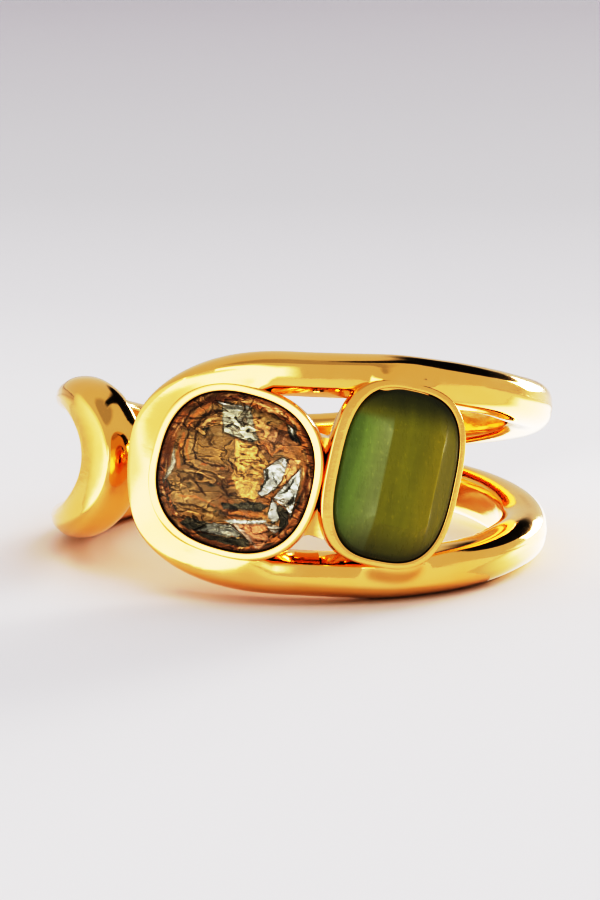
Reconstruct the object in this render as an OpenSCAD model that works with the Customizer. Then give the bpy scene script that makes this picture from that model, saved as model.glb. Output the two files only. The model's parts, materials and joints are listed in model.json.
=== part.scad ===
// Open wrap ring with two rails, two rim-set stones and a gap at the left of the front.
// Units are mm. Z is up. The ring lies on its side, tilted as it rests on a table, with its
// front toward -Y. The origin is the middle of the finger bore.
// Everything is built about the bore's own axis and tilted by lay_down() at the end.
// Angles run round the bore: 0 is the front, 90 the right, 180 the back, 270 the left.

/* [Finger bore] */
// radius of the hole that takes the finger
bore_r = 8.65; // [7.6:0.05:10.4]
// thickness of the band from the bore to its outer face
band_t = 1.92; // [1.6:0.02:2.4]

/* [Band heights] */
// half of the band's height at the front, to the outer edge of a rail
front_h = 4.98; // [4.9:0.02:5.3]
// the same at the right side
right_h = 3.70; // [3.5:0.02:3.9]
// the same at the back, where the rails run together
back_h = 1.72; // [1.6:0.02:1.9]
// the same at the left side
left_h = 3.42; // [3.3:0.02:3.6]
// how far the middle of the band sags at the back left
sag = 0.98; // [0.6:0.02:1.1]

/* [Rails] */
// width of a rail at the front
rail_w = 1.64; // [1.4:0.02:1.8]
// half of the space between the rails at the right side
right_gap = 1.62; // [1.4:0.02:1.8]
// half of the space between the rails at the left side
left_gap = 1.90; // [1.7:0.02:2.0]
// width of the rounding from a rail's face to its outer side, at the front
round_out = 0.50; // [0.3:0.02:0.6]
// width of the rounding from a rail's face to its inner side
round_in = 0.38; // [0.2:0.02:0.45]

/* [Closed ends] */
// length of the rounded end of the front loop
loop_end_l = 7.45; // [7.2:0.05:7.6]
// how square the upper corner of the loop end is
corner_up_n = 2.25; // [2:0.05:2.8]
// how square the lower corner of the loop end is
corner_low_n = 2.50; // [2:0.05:2.8]
// how much thicker the loop end is than the band
loop_end_t = 0.40; // [0.1:0.02:0.5]
// length of the outer curve of the facing end
facing_l = 5.24; // [5:0.02:5.4]
// length of the hollow curve inside the facing end
facing_in_l = 3.84; // [3.6:0.02:4]

/* [Brown stone] */
// half width of the stone
brown_w = 3.20; // [3:0.02:3.3]
// half height of the stone
brown_h = 3.15; // [3:0.02:3.3]
// lean of the stone, anticlockwise as seen from the front
brown_lean = -11.6; // [-20:0.2:0]
// height of the stone's table above its rim
brown_crown = 0.45; // [0.2:0.05:0.8]

/* [Green stone] */
// half width of the stone
green_w = 2.60; // [2.4:0.02:2.7]
// half height of the stone
green_h = 3.47; // [3.2:0.02:3.6]
// lean of the stone, anticlockwise as seen from the front
green_lean = -10; // [-16:0.2:0]
// height of the stone's table above its rim
green_crown = 0.62; // [0.3:0.05:0.9]

/* [Rims and seats] */
// wall of the brown stone's rim
brown_rim = 0.34; // [0.26:0.02:0.4]
// wall of the green stone's rim
green_rim = 0.28; // [0.24:0.02:0.34]
// space left between a stone and its seat
stone_gap = 0.04; // [0.03:0.01:0.08]

/* [Hidden] */

outer_r = bore_r + band_t;
// millimetres of the outer face in one degree
mm_deg = outer_r * PI / 180;
// the section runs this far inside the bore before the bore is cut
cut_in = 0.25;
// turn of the bore about its axis; its seam crosses the rails at the front right
bore_seam_a = -30;

// half height of the band's outer edge round the ring
edge_rows = [
    [0, front_h - 0.03], [20, front_h], [36, front_h - 0.2], [52, front_h - 0.54],
    [66, right_h + 0.4], [87, right_h], [110, right_h - 0.55], [135, back_h + 0.73],
    [160, back_h + 0.23], [180, back_h], [200, back_h + 0.13], [225, back_h + 0.63],
    [250, left_h - 0.47], [275, left_h - 0.12], [290, left_h]
];
// half height of the space between the rails; below zero the rails overlap
front_gap = front_h - rail_w;
gap_rows = [
    [0, front_gap], [14, front_gap], [36, front_gap - 0.52], [52, front_gap - 0.84],
    [66, right_gap + 0.48], [87, right_gap], [102, right_gap - 0.44], [120, right_gap - 0.9],
    [136, right_gap - 1.26], [150, 0.1], [160, -0.1], [180, -0.2], [200, 0],
    [215, left_gap - 1.4], [235, left_gap - 0.6], [255, left_gap - 0.15], [277, left_gap]
];
// height of the band's middle line
middle_rows = [
    [-45, 0], [0, -0.04 * sag], [60, -0.05 * sag], [90, -0.08 * sag], [120, -0.14 * sag],
    [136, -0.2 * sag], [180, -0.61 * sag], [228, -sag], [270, -0.51 * sag],
    [295, -0.2 * sag], [315, -0.05 * sag]
];
// extra thickness of the outer face
thick_rows = [
    [-50, 0.7 * loop_end_t], [-43, 0.85 * loop_end_t], [-36, 1.25 * loop_end_t],
    [-28, 1.1 * loop_end_t], [-14, 0.43 * loop_end_t],
    [2, 0.08 * loop_end_t], [12, 0], [270, 0], [310, 0.25 * loop_end_t]
];
// width of the rounding on the outer side of the rails
round_rows = [
    [-45, round_out], [0, round_out], [25, 0.6 * round_out], [180, 0.6 * round_out],
    [250, 0.8 * round_out], [277, 1.2 * round_out], [290, 1.2 * round_out]
];

// centres of the closed ends, in degrees
loop_end_a = -2.7;
facing_a = 284;
facing_in_a = 277;

// places of the stones: angle, height, distance of the rim from the bore's axis, squareness
brown_at = [-14.4, -0.02, outer_r + 0.15, 2.44];
green_at = [20.3, 0.13, outer_r + 0.31, 2.93];
// distances from the bore's axis to a seat's floor and to the foot of its backing
seat_floor = bore_r + 0.6;
seat_root = bore_r - 1.25;
// share by which a seat's backing narrows from its rim to its foot, and where that starts
seat_taper = 0.42;
rim_depth = 0.5;

// smooth curve through rows of [place, value], with no overshoot
function slope(rows, i) =
    let (n = len(rows) - 1,
         k = max(0, min(n - 1, i)),
         a = max(0, i - 1),
         right = (rows[k + 1][1] - rows[k][1]) / (rows[k + 1][0] - rows[k][0]),
         left = (rows[a + 1][1] - rows[a][1]) / (rows[a + 1][0] - rows[a][0]))
    i == 0 ? right
    : i == n ? left
    : left * right <= 0 ? 0
    : 2 * left * right / (left + right);
function row_at(rows, x, i = 0) = i >= len(rows) - 2 || x < rows[i + 1][0] ? i : row_at(rows, x, i + 1);
function curve(rows, place) =
    let (x = max(rows[0][0], min(rows[len(rows) - 1][0], place)),
         i = row_at(rows, x),
         w = rows[i + 1][0] - rows[i][0],
         t = (x - rows[i][0]) / w)
    (2 * t ^ 3 - 3 * t ^ 2 + 1) * rows[i][1]
    + (t ^ 3 - 2 * t ^ 2 + t) * w * slope(rows, i)
    + (3 * t ^ 2 - 2 * t ^ 3) * rows[i + 1][1]
    + (t ^ 3 - t ^ 2) * w * slope(rows, i + 1);

// point of a squared oval, t in degrees from its end
function oval(t, a, b, n) = [
    sign(cos(t)) * a * abs(cos(t)) ^ (2 / n),
    sign(sin(t)) * b * abs(sin(t)) ^ (2 / n)
];
// point on the band: angle, height, distance from the bore's axis
function wrap(a, z, r) = [r * sin(a), -r * cos(a), z];
// flat ring of points at height z, clockwise as seen from above, turned by part of a step
function oval_ring(w, h, n, z, count, turn = 0) = [
    for (i = [0 : count - 1])
    let (p = oval(-360 * (i + turn) / count, w, h, n))
    [p[0], p[1], z]
];

// stations along one rail: outer angle, outer height, inner angle, inner height, rounding
// the two corners share one squareness at the end's middle
corner_n = (corner_up_n + corner_low_n) / 2;
function loop_end(corner) = [
    for (i = [-1 : 11])
    let (t = 90 * i / 12,
         n = corner_n + (corner - corner_n) * max(0, min(1, t / 30)),
         o = oval(t, loop_end_l, front_h - 0.03, n),
         v = oval(t, loop_end_l - rail_w, front_gap, n))
    [loop_end_a - o[0] / mm_deg, o[1], loop_end_a - v[0] / mm_deg, v[1], round_out]
];
rail_run = [
    for (i = [0 : 40])
    let (a = loop_end_a + (facing_in_a - loop_end_a) * i / 40)
    [a, curve(edge_rows, a), a, curve(gap_rows, a), curve(round_rows, a)]
];
facing_end = [
    for (i = [1 : 12])
    let (f = i / 12,
         v = oval(90 * (1 - f), facing_in_l, left_gap, 2),
         lead = f < 0.25,
         t = 90 * (1 - (f - 0.25) / 0.75),
         a = facing_in_a + (facing_a - facing_in_a) * f / 0.25,
         o = oval(t, facing_l, left_h, 2.2),
         w = lead ? 1.2 : 0.2 + max(0, min(1, (t - 5) / 60)))
    [lead ? a : facing_a + o[0] / mm_deg, lead ? curve(edge_rows, a) : o[1],
     facing_in_a + v[0] / mm_deg, v[1], w * round_out]
];
function stations(up) = concat(loop_end(up > 0 ? corner_up_n : corner_low_n), rail_run, facing_end);

// section of a rail: side, share of the rounding, depth below the outer face
deep = band_t + cut_in;
section = [
    [1, 1, 0.02], [1, 0.78, 0.09], [1, 0.54, 0.23], [1, 0.26, 0.48], [1, 0.06, 0.8], [1, 0, 1.1],
    [1, 0.12, 1.5], [1, 0.5, band_t - 0.08], [1, 1.2, deep], [-1, 1.4, deep],
    [-1, 0.6, band_t - 0.08], [-1, 0.14, 1.5], [-1, 0, 1.1], [-1, 0.08, 0.76], [-1, 0.3, 0.44],
    [-1, 0.6, 0.18], [-1, 1, 0.02]
];
function section_pt(s, c, up) =
    let (wide = norm([(s[0] - s[2]) * mm_deg, s[1] - s[3]]),
         d = c[1] * (c[0] > 0 ? (c[2] > 1.2 ? min(s[4], round_out) : s[4]) : round_in) / wide,
         f = c[0] > 0 ? 1 - d : d,
         a = s[2] + (s[0] - s[2]) * f,
         z = up * (s[3] + (s[1] - s[3]) * f) + curve(middle_rows, a),
         extra = curve(thick_rows, a) * max(0, 1 - c[2] / band_t))
    wrap(a, z, outer_r - c[2] + extra);

// solid skin over rings of points, closed at both ends
module skin(rings) {
    m = len(rings[0]);
    n = len(rings);
    sides = [
        for (i = [0 : n - 2], j = [0 : m - 1])
        let (k = (j + 1) % m)
        each [[i * m + j, i * m + k, (i + 1) * m + k], [i * m + j, (i + 1) * m + k, (i + 1) * m + j]]
    ];
    ends = [[for (j = [m - 1 : -1 : 0]) j], [for (j = [0 : m - 1]) (n - 1) * m + j]];
    polyhedron([for (r = rings) each r], concat(sides, ends), 12);
}

module rail(up) {
    rings = [for (s = stations(up)) [for (c = section) section_pt(s, c, up)]];
    skin(up > 0 ? rings : [for (r = rings) [for (j = [len(r) - 1 : -1 : 0]) r[j]]]);
}

// half height of the loop's face at a distance x from the middle of the loop end
face_l = loop_end_l - 0.78 * rail_w;
face_h = front_h - 0.78 * rail_w;
function face_z(x, n) = face_h * (1 - min(1, x / face_l) ^ n) ^ (1 / n);

// metal that fills the loop end round the brown stone, flush with the rails and rising
// to the flat of the rim
module loop_face() {
    last = (loop_end_a - brown_at[0]) * mm_deg;
    skin([
        for (i = [0 : 16])
        let (x = last + (0.985 * face_l - last) * cos(90 * i / 16),
             a = loop_end_a - x / mm_deg,
             up = face_z(x, corner_up_n),
             low = -face_z(x, corner_low_n),
             r = outer_r + curve(thick_rows, a) - 0.02,
             rim_r = brown_at[2] / cos(a - brown_at[0]) - 0.02,
             mid_r = min(max(r, rim_r), r + 2.5 * (1 - x / face_l)))
        [wrap(a, up, r), wrap(a, up, bore_r - cut_in), wrap(a, low, bore_r - cut_in),
         wrap(a, low, r), wrap(a, 0.65 * low, mid_r), wrap(a, 0.65 * up, mid_r)]
    ]);
}

// web between the two rims, set back from them and leaning with them: for its low and its
// high end the height and the angle of its middle, then its half width and its radius
web_low = [-2.5, 2.5];
web_high = [1.55, 6];
web_half = 3.2;
web_r = bore_r + 1.4;
module web() {
    skin([
        for (e = [web_low, web_high])
        let (left = e[1] - web_half, right = e[1] + web_half, foot = bore_r - 1)
        [wrap(right, e[0], web_r), wrap(e[1], e[0], web_r), wrap(left, e[0], web_r),
         wrap(left, e[0], foot), wrap(right, e[0], foot)]
    ]);
}

// root of the fork at the back right, where the rails run together: for each place along it
// the angle, the half height and the radius, which rises to the rails' faces
fork_rows = [
    [131, 0.85, bore_r + 0.45], [137, 0.8, bore_r + 0.75],
    [145, 0.65, bore_r + 1.2], [155, 0.5, bore_r + 1.6]
];
module fork_root() {
    skin([
        for (f = fork_rows)
        let (z = curve(middle_rows, f[0]), in = bore_r - cut_in)
        [wrap(f[0], z + f[1], f[2]), wrap(f[0], z + f[1], in),
         wrap(f[0], z - f[1], in), wrap(f[0], z - f[1], f[2])]
    ]);
}

// places its children on the flat of a stone: x across, y up, z out of the ring
module on_flat(at, lean) {
    rotate([0, 0, at[0]])
    translate([0, -at[2], at[1]])
    rotate([90, 0, 0])
    rotate([0, 0, lean])
    children();
}

// rim and backing of a seat, narrowing from the rim down to within the bore
module rim_block(at, w, h, lean, rim) {
    deep = at[2] - seat_root;
    g = stone_gap + rim;
    on_flat(at, lean)
    skin([
        for (d = [deep, rim_depth, 0])
        let (k = 1 - seat_taper * max(0, d - rim_depth) / deep)
        oval_ring((w + g) * k, (h + g) * k, at[3], -d, 48)
    ]);
}

module seat_hollow(at, w, h, lean) {
    deep = at[2] - seat_root;
    g = stone_gap;
    on_flat(at, lean)
    skin([
        for (d = [at[2] - seat_floor, rim_depth, -2])
        let (k = 1 - seat_taper * max(0, d - rim_depth) / deep)
        oval_ring((w + g) * k, (h + g) * k, at[3], -d, 48)
    ]);
}

// the ring's underside, and the three places where it touches a table
low_ring = [for (s = stations(-1), c = section) if (c[0] > 0 && c[2] < deep) section_pt(s, c, -1)];
function low_near(a, dir) =
    let (p = [for (q = low_ring) if (abs(atan2(q[0], -q[1]) - a) < 14) q],
         z = min([for (q = p) q * dir]))
    [for (q = p) if (q * dir == z) q][0];
function table_from(dir) =
    let (front = low_near(14, dir),
         right = low_near(76, dir),
         back = low_near(-128, dir),
         n = cross(right - front, back - front))
    n / norm(n);
table_dir = table_from(table_from(table_from([0, 0, 1])));
lean_axis = cross(table_dir, [0, 0, 1]);
lean_angle = acos(table_dir[2]);

// tilts the ring from its own axis to the way it lies on a table
module lay_down() {
    rotate(a = lean_angle, v = lean_axis)
    children();
}

module ring_band() {
    color("gold")
    lay_down()
    difference() {
        // joins the rails, the face, the rims, the web and the fork into one casting of full height
        resize([0, 0, 0])
        difference() {
            union() {
                rail(1);
                rail(-1);
                loop_face();
                web();
                fork_root();
                rim_block(brown_at, brown_w, brown_h, brown_lean, brown_rim);
                rim_block(green_at, green_w, green_h, green_lean, green_rim);
            }
            seat_hollow(brown_at, brown_w, brown_h, brown_lean);
            seat_hollow(green_at, green_w, green_h, green_lean);
        }
        rotate([0, 0, bore_seam_a])
        translate([0, 0, -12])
        cylinder(r = bore_r, h = 24, $fn = 180);
    }
}

// cut stone: rings of [height, share of the outline, squareness], each turned half a facet
// from the last, and the same girdle twice over without a turn
module cut_stone(w, h, n, rows, girdle, sides) {
    skin([
        for (i = [0 : len(rows) - 1])
        let (r = rows[i])
        oval_ring(w * r[1], h * r[1], r[2], r[0], sides, -0.5 * (i > girdle ? i - 1 : i))
    ]);
}

module brown_stone() {
    color("saddlebrown")
    lay_down()
    on_flat(brown_at, brown_lean)
    cut_stone(brown_w, brown_h, brown_at[3], [
        [seat_floor - brown_at[2] + 0.05, 0.35, 2],
        [-0.9, 0.7, 2.2],
        [-0.2, 1, brown_at[3]],
        [-0.05, 1, brown_at[3]],
        [0.22, 0.86, 2.4],
        [brown_crown, 0.62, 2.2]
    ], 2, 24);
}

module green_stone() {
    color("olivedrab")
    lay_down()
    on_flat(green_at, green_lean)
    cut_stone(green_w, green_h, green_at[3], [
        [seat_floor - green_at[2] + 0.05, 0.4, 2],
        [-0.9, 0.75, 2.4],
        [-0.2, 1, green_at[3]],
        [0.02, 1, green_at[3]],
        [0.3, 0.86, 3],
        [green_crown, 0.46, 4]
    ], 2, 24);
}

ring_band();
brown_stone();
green_stone();
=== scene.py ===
"""Looks of an open wrap ring: polished gold rails, a brown stone, a green stone and an open gap.

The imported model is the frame. Sizes are in millimetres in the ring's own axes: the finger bore's axis is z,
the middle of the bore is the origin, and the front with the stones is toward -y. Angles run round the bore:
0 is the front, 90 the right, 180 the back and 270 the left. Each mesh is tilted with the bore's axis when it
is made.
"""

import json
import logging
import math
from abc import ABC, abstractmethod
from dataclasses import dataclass, field
from enum import Enum
from typing import ClassVar

import bmesh
import bpy
import numpy as np
from mathutils import Matrix, Vector, noise


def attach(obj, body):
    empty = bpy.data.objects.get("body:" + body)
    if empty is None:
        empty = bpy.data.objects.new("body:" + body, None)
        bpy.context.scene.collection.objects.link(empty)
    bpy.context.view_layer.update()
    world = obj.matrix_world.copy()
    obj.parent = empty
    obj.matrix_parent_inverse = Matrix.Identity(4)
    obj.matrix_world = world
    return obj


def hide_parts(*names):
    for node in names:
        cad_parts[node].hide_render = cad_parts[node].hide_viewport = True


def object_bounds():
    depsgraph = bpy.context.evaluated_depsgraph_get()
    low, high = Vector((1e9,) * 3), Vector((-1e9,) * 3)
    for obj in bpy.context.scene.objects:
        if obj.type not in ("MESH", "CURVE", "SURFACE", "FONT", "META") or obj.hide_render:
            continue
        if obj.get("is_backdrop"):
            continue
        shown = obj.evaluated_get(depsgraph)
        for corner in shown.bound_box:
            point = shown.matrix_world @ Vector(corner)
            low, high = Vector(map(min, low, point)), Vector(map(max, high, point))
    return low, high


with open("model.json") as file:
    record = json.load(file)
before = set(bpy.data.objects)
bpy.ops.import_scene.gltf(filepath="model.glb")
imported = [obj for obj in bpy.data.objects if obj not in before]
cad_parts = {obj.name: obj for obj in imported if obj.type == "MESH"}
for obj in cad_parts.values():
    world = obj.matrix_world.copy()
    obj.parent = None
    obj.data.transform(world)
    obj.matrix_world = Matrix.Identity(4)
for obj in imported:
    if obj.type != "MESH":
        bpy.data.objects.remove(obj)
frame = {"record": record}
cad_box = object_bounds()

LOG = logging.getLogger("wrap_ring")
MM = 0.001
BODY = "root"
LEAF_TONE = "leaf_tone"
GLASS_TONE = "glass_tone"
GLOW = "glow"

Points = np.ndarray
Faces = list[tuple[int, ...]]
Pair = tuple[float, float]
Color = tuple[float, float, float]
Stops = tuple[tuple[float, Color], ...]
Runs = list[list[tuple[float, float, float]]]
Rows = list[tuple[Points, Points | float]]
Piece = bpy.types.Object
Material = bpy.types.Material
Socket = bpy.types.NodeSocket


class Half(Enum):
    """Upper or lower rail, as the sign of its heights."""

    UPPER = 1.0
    LOWER = -1.0


class Stretch(Enum):
    """Stretches of a rail's section: its face, its outer edge, its stretch on the bore and its inner edge."""

    FACE = 0
    OUT = 1
    BORE = 2
    IN = 3


class Slot(Enum):
    """Material slots of the record."""

    GOLD = "gold"
    BROWN = "brown_glass"
    GREEN = "green_glass"


class SmoothTable:
    """Smooth curve through rows of place and value, with no overshoot."""

    def __init__(self, rows: list[Pair], size: float = 1.0) -> None:
        """Keeps the rows and works out the slopes.

        Args:
            rows: places in rising order, each with its value.
            size: a size that the values are shares of.
        """
        self.place, share = np.array(rows, float).T
        self.value = share * size
        steps = np.diff(self.value) / np.diff(self.place)
        left, right = steps[:-1], steps[1:]
        same = left * right > 0
        inner = np.where(same, 2 * left * right / np.where(same, left + right, 1), 0)
        self.slope = np.concatenate([steps[:1], inner, steps[-1:]])

    def at(self, place: Points) -> Points:
        """Values at some places; past either end the end value holds.

        Args:
            place: where to read the curve.

        Returns:
            One value for each place.
        """
        x = np.clip(place, self.place[0], self.place[-1])
        i = np.clip(np.searchsorted(self.place, x, side="right") - 1, 0, len(self.place) - 2)
        width = self.place[i + 1] - self.place[i]
        t = (x - self.place[i]) / width
        return (
            (2 * t**3 - 3 * t**2 + 1) * self.value[i]
            + (t**3 - 2 * t**2 + t) * width * self.slope[i]
            + (3 * t**2 - 2 * t**3) * self.value[i + 1]
            + (t**3 - t**2) * width * self.slope[i + 1]
        )


def smoothstep(x: Points) -> Points:
    """Rises smoothly from 0 to 1 as x does."""
    t = np.clip(x, 0, 1)
    return t * t * (3 - 2 * t)


def rise(x: Points, span: Pair) -> Points:
    """Rises smoothly from 0 to 1 over a span, which is given by its start and its width."""
    return smoothstep((x - span[0]) / span[1])


def fall(x: Points, span: Pair) -> Points:
    """Falls smoothly from 1 to 0 over a span, which is given by its end and its width."""
    return smoothstep((span[0] - x) / span[1])


def wrap(angle: Points, height: Points, radius: Points) -> Points:
    """Points of the ring from angles in degrees, heights and distances from the bore's axis."""
    a = np.radians(angle)
    return np.stack([radius * np.sin(a), -radius * np.cos(a), height + 0 * a], -1)


def unwrap_points(points: Points) -> tuple[Points, Points, Points]:
    """Angles in degrees, heights and distances from the bore's axis, for points at the front."""
    x, y, z = points[..., 0], points[..., 1], points[..., 2]
    return np.degrees(np.arctan2(x, -y)), z, np.hypot(x, y)


def smooth_run(values: Points, reach: int) -> Points:
    """Averages values along a run over some neighbours on each side, keeping both ends."""
    padded = np.concatenate([np.full(reach, values[0]), values, np.full(reach, values[-1])])
    return np.convolve(padded, np.ones(2 * reach + 1) / (2 * reach + 1), "valid")


def turned(x: Points, y: Points, degrees: float) -> tuple[Points, Points]:
    """Coordinates turned anticlockwise by an angle."""
    c, s = math.cos(math.radians(degrees)), math.sin(math.radians(degrees))
    return x * c - y * s, x * s + y * c


def squared_oval(turn: Points, half_w: float, half_h: float, n: Points) -> Points:
    """Points of a squared oval.

    Args:
        turn: degrees round the oval.
        half_w: half of its width.
        half_h: half of its height.
        n: how square it is; 2 is an ellipse.

    Returns:
        One x and y for each turn.
    """
    c, s = np.cos(np.radians(turn)), np.sin(np.radians(turn))
    c, s = np.where(abs(c) < 1e-12, 0, c), np.where(abs(s) < 1e-12, 0, s)
    return np.stack([np.sign(c) * half_w * abs(c) ** (2 / n), np.sign(s) * half_h * abs(s) ** (2 / n)], -1)


def even_oval(half_w: float, half_h: float, n: float, count: int) -> Points:
    """Points spaced evenly along a squared oval.

    Args:
        half_w: half of its width.
        half_h: half of its height.
        n: how square it is.
        count: how many points.

    Returns:
        One x and y for each point, anticlockwise from the right.
    """
    fine = squared_oval(np.linspace(0, 360, 4001), half_w, half_h, n)
    run = np.concatenate([[0], np.cumsum(np.linalg.norm(np.diff(fine, axis=0), axis=1))])
    at = np.arange(count) * run[-1] / count
    return np.stack([np.interp(at, run, fine[:, k]) for k in (0, 1)], -1)


def oval_reach(xy: Points, half_w: float, half_h: float, n: float) -> Points:
    """How far out points lie, as a share of a squared oval's edge in their direction."""
    return (abs(xy[..., 0] / half_w) ** n + abs(xy[..., 1] / half_h) ** n) ** (1 / n)


def turn_z_to(axis: Vector) -> Matrix:
    """Smallest rotation that takes +z to an axis."""
    return Vector((0, 0, 1)).rotation_difference(axis.normalized()).to_matrix()


class Tilt:
    """Tilt of the ring as it lies on a table, read from the finger bore's axis in the frame."""

    def __init__(self, record: dict) -> None:
        """Reads the bore's axis.

        Args:
            record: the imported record.
        """
        self.bore = record["mounts"][0]
        self.turn = turn_z_to(Vector(self.bore["axis"]))
        self.array = np.array(self.turn)

    def bore_radius(self) -> float:
        """Radius of the finger bore in mm."""
        return float(self.bore["dims"]["r_mm"])

    def place(self, points: Points) -> Points:
        """Takes points from mm in the ring's own axes to metres in the frame."""
        return points @ self.array.T * MM

    def unplace(self, points: Points) -> Points:
        """Takes points from metres in the frame to mm in the ring's own axes."""
        return points @ self.array / MM


TILT = Tilt(frame["record"])


def grid_faces(rows: int, cols: int, closed_rows: bool = False) -> Faces:
    """Quads between rings of points, each ring closed.

    Args:
        rows: how many rings.
        cols: how many points in a ring.
        closed_rows: whether the last ring joins the first.

    Returns:
        The quads.
    """
    quads = []
    for i in range(rows if closed_rows else rows - 1):
        here, there = i * cols, (i + 1) % rows * cols
        for j in range(cols):
            k = (j + 1) % cols
            quads.append((here + j, here + k, there + k, there + j))
    return quads


def capped(rings: list[Points]) -> tuple[Points, Faces]:
    """Closed skin over rings of points, with a middle point at each end.

    Args:
        rings: rings of the same length.

    Returns:
        The points and the faces.
    """
    cols, rows = len(rings[0]), len(rings)
    points = np.concatenate(rings + [rings[0].mean(0)[None], rings[-1].mean(0)[None]])
    faces = grid_faces(rows, cols)
    start, end = rows * cols, rows * cols + 1
    for j in range(cols):
        k = (j + 1) % cols
        faces += [(start, k, j), (end, (rows - 1) * cols + j, (rows - 1) * cols + k)]
    return points, faces


def add_object(name: str, data: bpy.types.ID) -> Piece:
    """Adds an object to the scene.

    Args:
        name: name of the object.
        data: its mesh, light or camera.

    Returns:
        The object.
    """
    made = bpy.data.objects.new(name, data)
    bpy.context.scene.collection.objects.link(made)
    return made


def make_piece(name: str, points: Points, faces: Faces, sharp: float,
               places: list[int] | None = None) -> Piece:
    """Makes one closed object of the ring from points in mm.

    Args:
        name: name of the object.
        points: points in the ring's own axes.
        faces: the faces' point numbers.
        sharp: edges that turn by more degrees than this stay crisp.
        places: number of the material place for each face.

    Returns:
        The object, linked to the scene.
    """
    mesh = bpy.data.meshes.new(name)
    mesh.from_pydata(TILT.place(points).tolist(), [], faces)
    if places is not None:
        mesh.polygons.foreach_set("material_index", places)
    bm = bmesh.new()
    bm.from_mesh(mesh)
    bmesh.ops.remove_doubles(bm, verts=bm.verts, dist=1e-8)
    bmesh.ops.recalc_face_normals(bm, faces=bm.faces)
    if bm.calc_volume(signed=True) < 0:
        bmesh.ops.reverse_faces(bm, faces=bm.faces)
    for face in bm.faces:
        face.smooth = True
    limit = math.radians(sharp)
    for edge in bm.edges:
        edge.smooth = len(edge.link_faces) == 2 and edge.calc_face_angle(0) < limit
    bm.to_mesh(mesh)
    bm.free()
    return add_object(name, mesh)


class SubAssembly(ABC):
    """One part of the ring, which builds its piece and dresses it."""

    slot: ClassVar[Slot] = Slot.GOLD
    stands_for: ClassVar[str | None] = None

    @abstractmethod
    def build(self) -> Piece:
        """Makes the part as one closed mesh.

        Returns:
            The piece.
        """

    def dress(self, piece: Piece, materials: list[Material]) -> None:
        """Gives a piece its materials and its body, and hides the frame's node that it stands for.

        Args:
            piece: the piece.
            materials: its materials in order.
        """
        for material in materials:
            piece.data.materials.append(material)
        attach(piece, BODY)
        if self.stands_for:
            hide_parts(self.stands_for)


@dataclass(frozen=True)
class Seat:
    """Place, size and rim of one stone's seat."""

    angle: float
    height: float
    reach: float
    squareness: float
    half_w: float
    half_h: float
    lean: float
    rim: float
    gap: float = 0.04
    floor: float = 9.25
    root: float = 7.4
    taper: float = 0.42
    straight: float = 0.5
    inset: float = 0.0

    def to_ring(self, x: Points, y: Points, out: Points) -> Points:
        """Points of the ring from places on the stone's flat.

        Args:
            x: distances across the stone.
            y: distances up the stone.
            out: heights above the rim.

        Returns:
            Points in the ring's own axes.
        """
        across, up = turned(x, y, self.lean)
        right, deep = turned(across, -(self.reach + out), self.angle)
        return np.stack([right, deep, up + self.height], -1)

    def on_flat(self, points: Points) -> tuple[Points, Points, Points]:
        """Places on the stone's flat and heights above the rim, for points of the ring.

        Args:
            points: points in the ring's own axes.

        Returns:
            Distances across the stone, up the stone and above the rim.
        """
        across, back = turned(points[..., 0], points[..., 1], -self.angle)
        return *turned(across, points[..., 2] - self.height, -self.lean), -back - self.reach

    def from_wrap(self, angle: Points, height: Points) -> Points:
        """Places on the stone's flat, seen straight from the bore's axis.

        Args:
            angle: angles round the bore.
            height: heights.

        Returns:
            One x and y for each place.
        """
        across = self.reach * np.tan(np.radians(angle - self.angle))
        return np.stack(turned(across, height - self.height, -self.lean), -1)

    def narrowed(self, xy: Points) -> Points:
        """Outline with its left half drawn in, where the rim is wider."""
        return np.stack([np.where(xy[:, 0] < 0, xy[:, 0] * (1 - self.inset), xy[:, 0]), xy[:, 1]], -1)

    def share(self, depth: Points) -> Points:
        """Share of the rim's outline at a depth below the rim."""
        return 1 - self.taper * np.maximum(0, depth - self.straight) / (self.reach - self.root)

    def on_bore(self, x: Points, bore_r: float) -> Points:
        """Depth below the rim at which a place on the flat meets the bore."""
        return self.reach - np.sqrt(bore_r**2 - x**2)


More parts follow.
